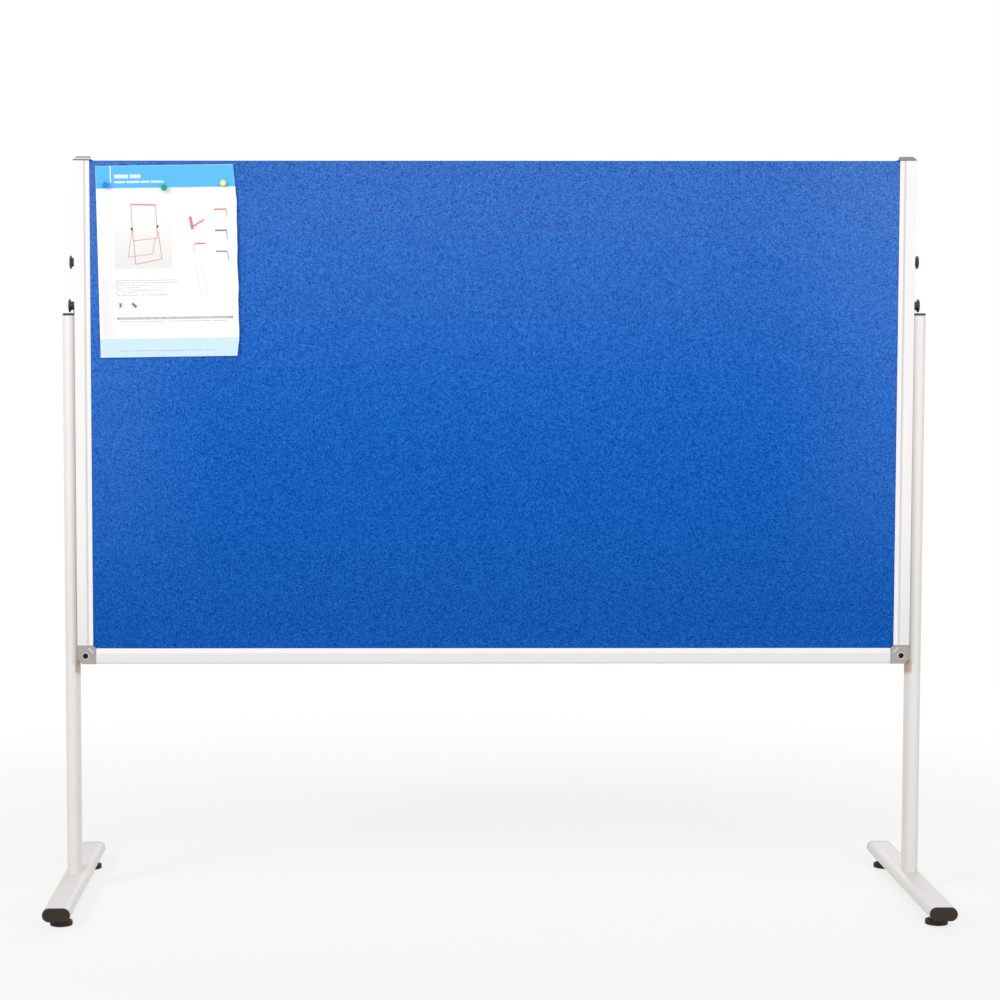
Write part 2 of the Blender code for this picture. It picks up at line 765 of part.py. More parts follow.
def add_knob(name, side, seat_x, height, hub_length, parent):
    """Fluted knob on a round hub, bored from its seat for the stud."""
    place = (side * seat_x, board_y, height)
    count = KNOB_FLUTES * FLUTE_STEPS
    hub = circle(HUB_DIAMETER, count)
    crown = circle(KNOB_DIAMETER * KNOB_CROWN_SHARE, count)
    disc_end = hub_length + KNOB_THICKNESS
    rings = [(hub, 0), (hub, hub_length)]
    rings += edge_rings(fluted, hub_length, KNOB_EDGE, -1)[::-1]
    rings += edge_rings(fluted, disc_end, KNOB_EDGE)
    rings += [(crown, disc_end + KNOB_DOME)]
    placed = [(ring, side * up) for ring, up in rings]
    knob = lofted(name, placed, "YZ", plastic_black, place, parent)
    bore = circle(STUD_DIAMETER + 2 * SEAT_GAP, FINE_STEPS)
    near, far = -side * CUT_OVERRUN, side * (STUD_GRIP + SEAT_GAP)
    cut(knob, prism(f"cut_{name}_bore", [bore], near, far, "YZ", plastic_black, place, parent))


def add_stud(name, side, seat_x, height, parent):
    """Threaded stud from inside the knob to the far face of its T-nut."""
    radius = STUD_DIAMETER / 2
    tip = half_width - nut_far - seat_x
    reaches = [
        (0, tip),
        (radius - STUD_CHAMFER, tip),
        (radius, tip + STUD_CHAMFER),
        (radius, STUD_GRIP),
        (0, STUD_GRIP),
    ]
    profile = [(around, side * reach) for around, reach in reaches]
    place = (side * seat_x, board_y, height)
    turned(name, profile, "YZ", steel_bright, place, parent, FINE_STEPS)


def add_nut(name, side, height, parent):
    """Steel T-nut inside the side bar's slot."""
    width = SLOT_WIDTH / 2 - RUNNING_GAP
    length = NUT_LENGTH / 2
    corners = [
        (-width, NUT_CHAMFER - length),
        (NUT_CHAMFER - width, -length),
        (width - NUT_CHAMFER, -length),
        (width, NUT_CHAMFER - length),
        (width, length - NUT_CHAMFER),
        (width - NUT_CHAMFER, length),
        (NUT_CHAMFER - width, length),
        (-width, length - NUT_CHAMFER),
    ]
    bore = circle(STUD_DIAMETER + 2 * SEAT_GAP, FINE_STEPS)
    place = (side * half_width, board_y, height)
    near, far = -side * nut_near, -side * nut_far
    prism(name, [corners, bore], near, far, "YZ", steel_bright, place, parent)


# The legs


def add_post(word, side):
    """Oval tube with a hole in its inner wall for the guide shoe's screw."""
    place = (side * post_x, board_y, 0)
    loops = [upright_oval(), upright_oval(-TUBE_WALL)]
    post = prism(f"post_{word}", loops, post_bottom, POST_TOP, "XY", white_coat, place)
    hole = circle(SHOE_SCREW_SHANK + 2 * SEAT_GAP, FINE_STEPS)
    place = (side * post_inner_x, board_y, SHOE_HEIGHT)
    near, far = -side * CUT_OVERRUN, side * (TUBE_WALL + CUT_OVERRUN)
    name = f"cut_post_{word}_screw"
    cut(post, prism(name, [hole], near, far, "YZ", steel_bright, place))


def add_post_cap(word, side):
    """Moulded cap with a plug in the post and an ear that the clamp's stud passes through."""
    place = (side * post_x, board_y, 0)
    plug = upright_oval(-TUBE_WALL - SEAT_GAP)
    rings = [(plug, cap_seat - POST_CAP_PLUG), (plug, cap_seat), (upright_oval(), cap_seat)]
    rings += edge_rings(upright_oval, cap_top, POST_CAP_EDGE)
    cap = lofted(f"post_cap_{word}", rings, "XY", plastic_black, place)
    place = (0, board_y, clamp_z)
    width = EAR_WIDTH / 2
    low = cap_seat + POST_CAP_HEIGHT / 2 - clamp_z
    outline = rounded(
        [
            (-width, low, 0),
            (width, low, 0),
            (width, EAR_TOP_MARGIN, EAR_CORNER_RADIUS),
            (-width, EAR_TOP_MARGIN, EAR_CORNER_RADIUS),
        ]
    )
    near, far = side * ear_inner_x, side * ear_outer_x
    name = f"join_post_cap_{word}_ear"
    join(cap, prism(name, [outline], near, far, "YZ", plastic_black, place))
    hole = circle(STUD_DIAMETER + 2 * SEAT_GAP, FINE_STEPS)
    near, far = near - side * CUT_OVERRUN, far + side * CUT_OVERRUN
    name = f"cut_post_cap_{word}_ear"
    cut(cap, prism(name, [hole], near, far, "YZ", plastic_black, place))


def add_post_insert(word, side):
    """Block in the post's foot, bored for the bolt that comes up through the foot tube."""
    place = (side * post_x, board_y, post_bottom)
    bore = circle(FOOT_BOLT_SHANK + 2 * SEAT_GAP, FINE_STEPS)
    loops = [upright_oval(-TUBE_WALL - SEAT_GAP), bore]
    prism(f"post_insert_{word}", loops, 0, INSERT_HEIGHT, "XY", alloy, place)


def add_foot_bolt(word, side):
    """Button-headed bolt under the foot tube with its shank in the post's insert."""
    head = FOOT_BOLT_HEAD / 2
    shank = FOOT_BOLT_SHANK / 2
    bottom = bush_seat - FOOT_BOLT_HEAD_HEIGHT
    top = post_bottom + FOOT_BOLT_GRIP
    profile = [
        (0, bottom),
        (head - 2 * FOOT_BOLT_EDGE, bottom),
        (head, bottom + FOOT_BOLT_EDGE),
        (head, bush_seat),
        (shank, bush_seat),
        (shank, top - STEM_CHAMFER),
        (shank - STEM_CHAMFER, top),
        (0, top),
    ]
    place = (side * post_x, board_y, 0)
    name = f"foot_bolt_{word}"
    bolt = turned(name, profile, "XY", steel_black, place, None, FINE_STEPS)
    socket = circle(FOOT_BOLT_SOCKET, HEX_SIDES)
    low, high = bottom - CUT_OVERRUN, bottom + FOOT_BOLT_SOCKET_DEPTH
    name = f"cut_foot_bolt_{word}_socket"
    cut(bolt, prism(name, [socket], low, high, "XY", steel_black, place))


def add_foot(word, side):
    """Oval tube that lies flat, with holes for the post's bolt and both glide bushes."""
    place = (side * foot_x, 0, foot_axis_z)
    reach = FOOT_LENGTH / 2 - FOOT_CAP_THICKNESS - SEAT_GAP
    loops = [oval(), oval(-TUBE_WALL)]
    foot = prism(f"foot_tube_{word}", loops, -reach, reach, "XZ", white_coat, place)
    bolt_hole = circle(FOOT_BOLT_SHANK + 2 * SEAT_GAP, FINE_STEPS)
    low, high = FOOT_UNDERSIDE - CUT_OVERRUN, foot_top + CUT_OVERRUN
    bolt_place = (side * post_x, board_y, 0)
    name = f"cut_foot_tube_{word}_bolt"
    cut(foot, prism(name, [bolt_hole], low, high, "XY", white_coat, bolt_place))
    bush_hole = circle(BUSH_BARREL_DIAMETER + 2 * SEAT_GAP, FINE_STEPS)
    high = FOOT_UNDERSIDE + TUBE_WALL + CUT_OVERRUN
    for end_word, end in ENDS.items():
        glide_y = end * (FOOT_LENGTH / 2 - GLIDE_INSETS[end_word])
        bush_place = (side * glide_x, glide_y, 0)
        name = f"cut_foot_tube_{word}_bush_{end_word}"
        cut(foot, prism(name, [bush_hole], low, high, "XY", white_coat, bush_place))
        add_foot_cap(f"foot_end_cap_{word}_{end_word}", side, end, reach)
        add_bush(f"glide_bush_{word}_{end_word}", bush_place)
        add_glide(f"{word}_{end_word}", bush_place)


def add_foot_cap(name, side, end, reach):
    """Moulded flange over a foot tube's end, with a plug inside the tube."""
    seat = reach + SEAT_GAP
    plug = oval(-TUBE_WALL - SEAT_GAP)
    rings = [(plug, reach - FOOT_CAP_PLUG), (plug, seat), (oval(), seat)]
    rings += edge_rings(oval, FOOT_LENGTH / 2, FOOT_CAP_EDGE)
    placed = [(ring, end * up) for ring, up in rings]
    lofted(name, placed, "XZ", plastic_black, (side * foot_x, 0, foot_axis_z))


def add_bush(name, place):
    """Flanged bush in the foot tube's lower wall that takes the glide's stem."""
    bore = STEM_DIAMETER / 2 + SEAT_GAP
    barrel = BUSH_BARREL_DIAMETER / 2
    flange = BUSH_FLANGE_DIAMETER / 2
    profile = [
        (bore, bush_seat - BUSH_FLANGE_HEIGHT),
        (flange, bush_seat - BUSH_FLANGE_HEIGHT),
        (flange, bush_seat),
        (barrel, bush_seat),
        (barrel, bush_seat + BUSH_BARREL_HEIGHT),
        (bore, bush_seat + BUSH_BARREL_HEIGHT),
    ]
    turned(name, profile, "XY", plastic_black, place, None, FINE_STEPS)


def add_glide(words, place):
    """Levelling glide: a round pad and the threaded stem that stands in it."""
    frame = carrier(f"glide_{words}", place)
    pad = PAD_DIAMETER / 2
    neck = PAD_NECK_DIAMETER / 2
    bore = STEM_DIAMETER / 2 + SEAT_GAP
    slope_top = PAD_SIDE_HEIGHT + PAD_SLOPE_HEIGHT
    profile = [
        (0, 0),
        (pad - PAD_EDGE, 0),
        (pad, PAD_EDGE),
        (pad, PAD_SIDE_HEIGHT - PAD_EDGE),
        (pad - PAD_EDGE, PAD_SIDE_HEIGHT),
        (pad - PAD_SLOPE_WIDTH, slope_top),
        (neck, slope_top),
        (neck, pad_top),
        (bore, pad_top),
        (bore, PAD_FLOOR),
        (0, PAD_FLOOR),
    ]
    turned(f"glide_pad_{words}", profile, "XY", rubber_black, place, frame)
    stem = STEM_DIAMETER / 2
    low = PAD_FLOOR + SEAT_GAP
    high = foot_top - TUBE_WALL - STEM_TOP_ROOM
    stem_profile = [
        (0, low),
        (stem, low),
        (stem, high - STEM_CHAMFER),
        (stem - STEM_CHAMFER, high),
        (0, high),
    ]
    name = f"glide_stem_{words}"
    turned(name, stem_profile, "XY", steel_bright, place, frame, FINE_STEPS)


def add_guide_shoe(word, side):
    """Nylon shoe on the post's inner wall that runs in the side bar's T-slot."""
    place = (side * half_width, board_y, SHOE_HEIGHT)
    neck = SLOT_MOUTH / 2 - RUNNING_GAP
    head = SLOT_WIDTH / 2 - RUNNING_GAP
    near = CRADLE_DEPTH
    roof = slot_roof + SEAT_GAP
    far = roof + SHOE_HEAD_THICKNESS
    section = [
        (near, -neck),
        (roof, -neck),
        (roof, -head),
        (far, -head),
        (far, head),
        (roof, head),
        (roof, neck),
        (near, neck),
    ]
    length = SHOE_LENGTH / 2
    loops = inward([section], side)
    shoe = prism(f"guide_shoe_{word}", loops, -length, length, "XY", nylon, place)
    head_floor = far - SHOE_SCREW_HEAD_HEIGHT
    bore = SHOE_SCREW_SHANK / 2 + SEAT_GAP
    sink = SHOE_SCREW_HEAD / 2 + SEAT_GAP
    depths = [
        (0, near - CUT_OVERRUN),
        (bore, near - CUT_OVERRUN),
        (bore, head_floor - SEAT_GAP),
        (sink, head_floor - SEAT_GAP),
        (sink, far + CUT_OVERRUN),
        (0, far + CUT_OVERRUN),
    ]
    profile = [(radius, -side * depth) for radius, depth in depths]
    name = f"cut_guide_shoe_{word}"
    cut(shoe, turned(name, profile, "YZ", nylon, place, None, FINE_STEPS))
    shank = SHOE_SCREW_SHANK / 2
    screw_head = SHOE_SCREW_HEAD / 2
    tip = head_floor - SHOE_SCREW_REACH
    depths = [
        (0, tip),
        (shank, tip),
        (shank, head_floor),
        (screw_head, head_floor),
        (screw_head, far),
        (0, far),
    ]
    profile = [(radius, -side * depth) for radius, depth in depths]
    turned(f"guide_screw_{word}", profile, "YZ", steel_bright, place, None, FINE_STEPS)


clear_scene()

white_coat = material("white_powder_coat", (0.80, 0.80, 0.79), 0.42)
plastic_grey = material("light_grey_plastic", (0.40, 0.38, 0.36), 0.5)
plastic_black = material("black_plastic", (0.02, 0.02, 0.021), 0.45)
rubber_black = material("black_rubber", (0.018, 0.018, 0.018), 0.75)
steel_black = material("blackened_steel", (0.015, 0.015, 0.016), 0.4, 0.8)
steel_bright = material("zinc_plated_steel", (0.60, 0.60, 0.61), 0.32, 1.0)
alloy = material("die_cast_aluminium", (0.66, 0.66, 0.67), 0.45, 1.0)
nylon = material("natural_nylon", (0.74, 0.72, 0.66), 0.5)
core_board = material("core_board", (0.55, 0.42, 0.28), 0.9)
felt_blue = material("blue_felt", (0.012, 0.045, 0.29), 0.97)
paper_white = material("printed_paper", (0.82, 0.83, 0.84), 0.6)
pin_surfaces = {
    "blue": material("blue_pin_plastic", (0.015, 0.06, 0.42), 0.3),
    "green": material("green_pin_plastic", (0.04, 0.38, 0.08), 0.3),
    "yellow": material("yellow_pin_plastic", (0.78, 0.56, 0.02), 0.3),
}

board_frame = carrier("board_slide", (0, 0, 0))
add_bottom_bar(board_frame)
add_panel(board_frame)
add_notice_sheet(board_frame)
for pin_color, pin_surface in pin_surfaces.items():
    add_push_pin(pin_color, pin_surface, board_frame)

clamp_seat = ear_outer_x + SEAT_GAP
for side_word, side_sign in SIDES.items():
    add_side_bar(side_word, side_sign, board_frame)
    add_corner(side_word, side_sign, board_frame)
    add_end_cap(side_word, side_sign, board_frame)
    add_post(side_word, side_sign)
    add_post_cap(side_word, side_sign)
    add_post_insert(side_word, side_sign)
    add_foot_bolt(side_word, side_sign)
    add_foot(side_word, side_sign)
    add_guide_shoe(side_word, side_sign)
    add_nut(f"clamp_nut_{side_word}", side_sign, clamp_z, None)
    add_nut(f"stop_nut_{side_word}", side_sign, stop_z, board_frame)
    clamp_place = (side_sign * clamp_seat, board_y, clamp_z)
    clamp = carrier(f"clamp_turn_{side_word}", clamp_place)
    knob_name, stud_name = f"clamp_knob_{side_word}", f"clamp_stud_{side_word}"
    add_knob(knob_name, side_sign, clamp_seat, clamp_z, CLAMP_HUB_LENGTH, clamp)
    add_stud(stud_name, side_sign, clamp_seat, clamp_z, clamp)
    stop_place = (side_sign * post_inner_x, board_y, stop_z)
    stop = carrier(f"stop_turn_{side_word}", stop_place, board_frame)
    knob_name, stud_name = f"stop_knob_{side_word}", f"stop_stud_{side_word}"
    add_knob(knob_name, side_sign, post_inner_x, stop_z, STOP_HUB_LENGTH, stop)
    add_stud(stud_name, side_sign, post_inner_x, stop_z, stop)
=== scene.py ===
"""Looks of a double-sided felt pinboard on two T-shaped legs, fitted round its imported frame."""

import json
import math

import bmesh
import bpy
from mathutils import Matrix, Vector, noise

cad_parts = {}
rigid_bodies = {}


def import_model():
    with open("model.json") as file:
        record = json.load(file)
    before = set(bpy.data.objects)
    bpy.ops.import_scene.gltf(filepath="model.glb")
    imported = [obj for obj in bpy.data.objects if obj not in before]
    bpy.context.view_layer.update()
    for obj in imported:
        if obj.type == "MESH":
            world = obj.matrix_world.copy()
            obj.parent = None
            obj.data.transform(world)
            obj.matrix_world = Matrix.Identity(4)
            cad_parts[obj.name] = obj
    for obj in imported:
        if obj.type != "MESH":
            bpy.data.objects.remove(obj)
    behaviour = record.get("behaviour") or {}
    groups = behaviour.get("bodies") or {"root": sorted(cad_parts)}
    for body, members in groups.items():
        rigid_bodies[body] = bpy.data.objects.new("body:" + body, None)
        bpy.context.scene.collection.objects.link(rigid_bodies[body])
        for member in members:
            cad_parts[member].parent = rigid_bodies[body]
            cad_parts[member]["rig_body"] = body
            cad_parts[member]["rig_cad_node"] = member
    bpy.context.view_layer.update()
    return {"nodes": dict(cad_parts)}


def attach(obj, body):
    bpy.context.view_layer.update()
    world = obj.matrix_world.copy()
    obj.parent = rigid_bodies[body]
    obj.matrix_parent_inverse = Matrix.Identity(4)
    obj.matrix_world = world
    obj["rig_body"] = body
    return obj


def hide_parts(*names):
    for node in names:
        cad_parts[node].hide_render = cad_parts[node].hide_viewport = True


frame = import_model()
nodes = frame["nodes"]

# The feet are oval steel tubes lying flat. They are cut, drilled for the post's bolt and for the
# bushes of both glides, and then powder coated white all over, so that even their rims are soft.


def filled(tree, node, inputs):
    """Fills a node's sockets with values or with other nodes' outputs."""
    for key, value in inputs.items():
        if isinstance(value, bpy.types.NodeSocket):
            tree.links.new(value, node.inputs[key])
        else:
            node.inputs[key].default_value = value
    return node


def wired(tree, kind, inputs, **settings):
    """Adds a shader node and fills its sockets."""
    node = tree.nodes.new(f"ShaderNode{kind}")
    for key, value in settings.items():
        setattr(node, key, value)
    return filled(tree, node, inputs)


def reckoned(tree, operation, first, second=0.0):
    """One step of arithmetic."""
    return wired(tree, "Math", {0: first, 1: second}, operation=operation).outputs[0]


def spanned(tree, value, start, finish, least=0.0, most=1.0, curve="LINEAR"):
    """Maps the span of a value from start to finish onto another span."""
    inputs = {"Value": value, "From Min": start, "From Max": finish, "To Min": least, "To Max": most}
    return wired(tree, "MapRange", inputs, interpolation_type=curve).outputs["Result"]


def mixed(tree, mask, below, above, blend="MIX"):
    """Lays one colour over another as far as a mask is full."""
    inputs = {"Factor": mask}
    for key, color in (("A", below), ("B", above)):
        inputs[key] = (*color, 1) if isinstance(color, tuple) else color
    return wired(tree, "Mix", inputs, data_type="RGBA", blend_type=blend).outputs["Result"]


def fresh_skin(name):
    """A new material with its tree and its shader."""
    made = bpy.data.materials.new(name)
    made.use_nodes = True
    return made, made.node_tree, made.node_tree.nodes["Principled BSDF"]


def coating(name, color, roughness, grain, drift=0.03, depth=0.05, metallic=0.0, reach=9.0):
    """A coated, moulded or rolled skin: colour and gloss drift a little over a fine grain."""
    made, tree, shader = fresh_skin(name)
    place = wired(tree, "TexCoord", {}).outputs["Object"]
    cloud = wired(tree, "TexNoise", {"Vector": place, "Scale": reach, "Detail": 4}).outputs["Fac"]
    dark = tuple(c * (1 - drift) for c in color)
    light = tuple(min(c * (1 + drift), 1) for c in color)
    skin = wired(tree, "TexNoise", {"Vector": place, "Scale": grain, "Detail": 2}).outputs["Fac"]
    bump = wired(tree, "Bump", {"Strength": depth, "Distance": 0.001, "Height": skin})
    looks = {
        "Metallic": metallic,
        "Base Color": mixed(tree, cloud, dark, light),
        "Roughness": spanned(tree, cloud, 0, 1, roughness * 0.85, roughness * 1.15),
        "Normal": bump.outputs["Normal"],
    }
    filled(tree, shader, looks)
    return made


def alone(piece):
    """Makes one piece the only one selected."""
    bpy.ops.object.select_all(action="DESELECT")
    piece.select_set(True)
    bpy.context.view_layer.objects.active = piece


def begin(name):
    """Names the primitive just added, puts its place in its mesh and opens it for editing."""
    piece = bpy.context.object
    piece.name = name
    bpy.ops.object.transform_apply(location=True, rotation=True, scale=True)
    bpy.ops.object.mode_set(mode="EDIT")
    return piece


def end():
    """Closes the piece being edited."""
    bpy.ops.object.mode_set(mode="OBJECT")


def rod(name, radius, depth, place, turn=(0, 0, 0), sides=96, ends="NGON"):
    """Adds a cylinder and opens it for editing."""
    bpy.ops.object.select_all(action="DESELECT")
    bpy.ops.mesh.primitive_cylinder_add(
        vertices=sides, radius=radius, depth=depth, end_fill_type=ends, location=place, rotation=turn
    )
    return begin(name)


def pull(step, spread=None, middle=None):
    """Extrudes the selected faces or edges, and widens or narrows their end about a middle."""
    bpy.ops.mesh.extrude_region_move(TRANSFORM_OT_translate={"value": step})
    if spread:
        bpy.ops.transform.resize(value=spread, center_override=middle)


def pick(kind, wanted):
    """Selects the points, edges or faces being edited whose place, and normal, pass a test."""
    bpy.ops.mesh.select_mode(type=kind)
    bpy.ops.mesh.select_all(action="DESELECT")
    shape = bmesh.from_edit_mesh(bpy.context.object.data)
    if kind == "VERT":
        chosen = [point for point in shape.verts if wanted(point.co)]
    elif kind == "EDGE":
        chosen = [edge for edge in shape.edges if all(wanted(point.co) for point in edge.verts)]
    else:
        chosen = [face for face in shape.faces if wanted(face.calc_center_median(), face.normal)]
    for item in chosen:
        item.select_set(True)
    bmesh.update_edit_mesh(bpy.context.object.data)


def widen(axis, middle, by):
    """Draws the two halves of a round shape apart, which makes it oval."""
    for way in (-1, 1):
        pick("VERT", lambda co: way * (co[axis] - middle) > 0.0001)
        step = [0, 0, 0]
        step[axis] = way * by
        bpy.ops.transform.translate(value=step)


def applied(piece, kind, **settings):
    """Adds a modifier to a piece and applies it."""
    alone(piece)
    change = piece.modifiers.new(kind.lower(), kind)
    for key, value in settings.items():
        setattr(change, key, value)
    bpy.ops.object.modifier_apply(modifier=change.name)


def ease(piece, width, segments=2, angle=40):
    """Rounds a piece's sharp edges."""
    limit = math.radians(angle)
    applied(piece, "BEVEL", width=width, segments=segments, limit_method="ANGLE", angle_limit=limit)


def drill(piece, place, radius, depth, turn=(0, 0, 0)):
    """Cuts a round hole through a piece."""
    bit = rod("drill_bit", radius, depth, place, turn, 40)
    end()
    applied(piece, "BOOLEAN", operation="DIFFERENCE", object=bit, solver="EXACT")
    bpy.data.objects.remove(bit)


def twin(piece, name, shift=(0, 0, 0), flip=""):
    """A copy with its own mesh, moved along or mirrored across the middle."""
    other = piece.copy()
    other.data = piece.data.copy()
    other.name = name
    bpy.context.scene.collection.objects.link(other)
    move = Matrix.Translation(shift)
    for axis in flip:
        move = move @ Matrix.Scale(-1, 4, Vector([axis == "X", axis == "Y", axis == "Z"]))
    other.data.transform(move)
    if len(flip) % 2:
        other.data.flip_normals()
    return other


def mount(piece, body, slot, skin, *stands_for):
    """Gives a finished piece its skin and its place on the frame."""
    piece.data.materials.clear()
    piece.data.materials.append(skin)
    alone(piece)
    bpy.ops.object.shade_smooth_by_angle(angle=math.radians(35))
    applied(piece, "WEIGHTED_NORMAL", keep_sharp=True)
    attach(piece, body)
    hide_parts(*stands_for)


TUBE_WALL = 0.0015
TUBE_RADIUS = 0.012
OVAL_STRETCH = 0.012
FOOT_X = -0.757
FOOT_Z = 0.0245
POST_X = -0.760
MIDDLE_Y = 0.020
GLIDE_X = -0.7525
GLIDE_FRONT = -0.238
GLIDE_REAR = 0.209
ALONG_Y = (math.pi / 2, 0, 0)
ALONG_X = (0, math.pi / 2, 0)
tube_white = coating("tube_powder_coat", (0.79, 0.765, 0.74), 0.50, 900, 0.012, 0.04)

foot = rod("coated_foot_left", TUBE_RADIUS, 0.5438, (FOOT_X, 0, FOOT_Z), ALONG_Y, ends="NOTHING")
widen(0, FOOT_X, OVAL_STRETCH)
end()
applied(foot, "SOLIDIFY", thickness=TUBE_WALL, offset=-1)
ease(foot, 0.0005, 3, 60)
drill(foot, (POST_X, MIDDLE_Y, FOOT_Z), 0.0043, 0.04)
for y in (GLIDE_FRONT, GLIDE_REAR):
    drill(foot, (GLIDE_X, y, 0.0125), 0.0063, 0.008)
right_foot = twin(foot, "coated_foot_right", flip="X")
mount(foot, "stand", "tube_coat", tube_white, "foot_tube_left")
mount(right_foot, "stand", "tube_coat", tube_white, "foot_tube_right")

# The posts are the same oval tube set upright, with the long side front to back. Each stands on its foot
# with its end spread a little by the coating's bead, and is bolted through the foot. Their coat has
# painted light and shade: lighter towards the top, a painted shade line down each post beside the board,
# and a painted brown shadow under the corner.


def place_on(made):
    """The place on its object that a skin's tree already works with."""
    return next(node for node in made.node_tree.nodes if node.type == "TEX_COORD").outputs["Object"]


def toned(made, mask, tone):
    """Lays a tone over a skin's colour wherever a mask is full."""
    tree = made.node_tree
    socket = tree.nodes["Principled BSDF"].inputs["Base Color"]
    tree.links.new(mixed(tree, mask, socket.links[0].from_socket, tone), socket)


def beyond(made, axis, planes, start, finish):
    """A mask that grows with a place, or with its distance from each plane in turn."""
    tree = made.node_tree
    value = wired(tree, "SeparateXYZ", {"Vector": place_on(made)}).outputs[axis]
    for plane in planes:
        value = reckoned(tree, "ABSOLUTE", reckoned(tree, "SUBTRACT", value, plane))
    return spanned(tree, value, start, finish)


def crossed(made, *masks):
    """Where all of the masks are full."""
    whole = masks[0]
    for mask in masks[1:]:
        whole = reckoned(made.node_tree, "MULTIPLY", whole, mask)
    return whole


def post_coat_painted_shade():
    """The tube's coat with painted light and shade: lighter towards the top, a painted shade line beside
    the board and a painted brown shadow under the corner.
    """
    made = coating("post_powder_coat_painted_shade", (0.79, 0.765, 0.74), 0.50, 900, 0.012, 0.04)
    tree = made.node_tree
    spot = wired(tree, "SeparateXYZ", {"Vector": place_on(made)}).outputs
    # Painted light: the coat turns lighter towards the top, as if lit from above.
    toned(made, beyond(made, "Z", (), 0.48, 0.95), (0.86, 0.84, 0.82))

    # Painted shade: a grey line down each post's inner side where it meets the board, weaker higher up
    # and on the right post.
    side = reckoned(tree, "MULTIPLY", beyond(made, "X", (), -0.1, 0.1), 0.28)
    fade = crossed(made, reckoned(tree, "ADD", 0.20, side), beyond(made, "Z", (), 0.43, 1.04))
    line = crossed(
        made,
        reckoned(tree, "POWER", beyond(made, "X", (0,), 0.7615, 0.7500), 1.5),
        beyond(made, "Y", (MIDDLE_Y,), 0.0150, 0.0180),
        beyond(made, "Z", (), 0.412, 0.424),
        reckoned(tree, "SUBTRACT", 1.0, fade),
    )
    toned(made, line, (0.41, 0.40, 0.385))

    # Painted shadow: a warm brown shadow of the board's corner on the post's inner side, with a sloping
    # lower edge.
    lower = reckoned(tree, "SUBTRACT", 0.402, reckoned(tree, "MULTIPLY", spot["Y"], 0.22))
    height = reckoned(tree, "SUBTRACT", spot["Z"], lower)
    warm_shadow = crossed(
        made,
        spanned(tree, height, -0.004, 0.003),
        beyond(made, "X", (0,), 0.7550, 0.7530),
        beyond(made, "Z", (), 0.428, 0.420),
        0.85,
    )
    toned(made, warm_shadow, (0.52, 0.335, 0.18))
    return made


POST_FOOT = 0.037
post_white = post_coat_painted_shade()
post = rod("coated_post_left", TUBE_RADIUS, 1.0053, (POST_X, MIDDLE_Y, 0.54165), ends="NOTHING")
widen(1, MIDDLE_Y, OVAL_STRETCH)
pick("EDGE", lambda co: co.z < 0.0391)
for step, spread in ((-0.0009, (1.035, 1.018, 1)), (-0.0013, (1.075, 1.038, 1))):
    pull((0, 0, step), spread, (POST_X, MIDDLE_Y, POST_FOOT))
end()
applied(post, "SOLIDIFY", thickness=TUBE_WALL, offset=-1)
ease(post, 0.0004, 2, 60)
drill(post, (-0.748, MIDDLE_Y, 0.700), 0.0023, 0.008, ALONG_X)
right_post = twin(post, "coated_post_right", flip="X")
mount(post, "stand", "tube_coat", post_white, "post_left")
mount(right_post, "stand", "tube_coat", post_white, "post_right")

# A die-cast block fills the bottom of each post, and a black button-headed bolt comes up into it
# through the foot. Both are bought parts that show only from below.


def recoat(skin, *names):
    """Gives nodes that stay as they are a better skin."""
    for name in names:
        for place in nodes[name].material_slots:
            place.material = skin


cast_skin = coating("cast_alloy_skin", (0.62, 0.62, 0.63), 0.45, 700, 0.06, 0.3, 1.0, 40)
black_steel_skin = coating("blackened_steel_skin", (0.030, 0.029, 0.028), 0.38, 1500, 0.15, 0.1, 0.7, 60)
for side in ("left", "right"):
    recoat(cast_skin, f"post_insert_{side}")
    recoat(black_steel_skin, f"foot_bolt_{side}")

# The feet are closed by black moulded caps. Each is a flat oval lid with a softly rounded rim, and
# a ribbed plug behind it grips the inside of the tube.
black_skin = coating("black_moulding", (0.026, 0.016, 0.008), 0.50, 1300, 0.10, 0.12, 0.0, 30)
black_skin.node_tree.nodes["Principled BSDF"].inputs["Specular IOR Level"].default_value = 0.32

lid = rod("foot_lid_left_front", TUBE_RADIUS, 0.0028, (FOOT_X, -0.2736, FOOT_Z), ALONG_Y)
widen(0, FOOT_X, OVAL_STRETCH)
pick("EDGE", lambda co: co.y < -0.2749)
bpy.ops.mesh.bevel(offset=0.0011, segments=4)
pick("FACE", lambda co, normal: normal.y > 0.9)
bpy.ops.mesh.inset(thickness=0.0018)
pull((0, 0.0150, 0))
pull((0, 0.0030, 0), (0.96, 1, 0.90), (FOOT_X, -0.254, FOOT_Z))
end()
lids = {
    "left_front": lid,
    "left_rear": twin(lid, "foot_lid_left_rear", flip="Y"),
    "right_front": twin(lid, "foot_lid_right_front", flip="X"),
    "right_rear": twin(lid, "foot_lid_right_rear", flip="XY"),
}
for corner, piece in lids.items():
    mount(piece, "stand", "black_plastic", black_skin, f"foot_end_cap_{corner}")

# Four levelling glides carry the board. A black rubber pad is moulded round the foot of a zinc
# plated threaded stem, and the stem screws into a flanged bush pressed into the foot.
rubber_skin = coating("pad_rubber", (0.020, 0.012, 0.007), 0.66, 1100, 0.14, 0.2, 0.0, 45)
rubber_skin.node_tree.nodes["Principled BSDF"].inputs["Specular IOR Level"].default_value = 0.32
bush_skin = coating("bush_moulding", (0.030, 0.029, 0.028), 0.42, 1500, 0.10, 0.10, 0.0, 60)


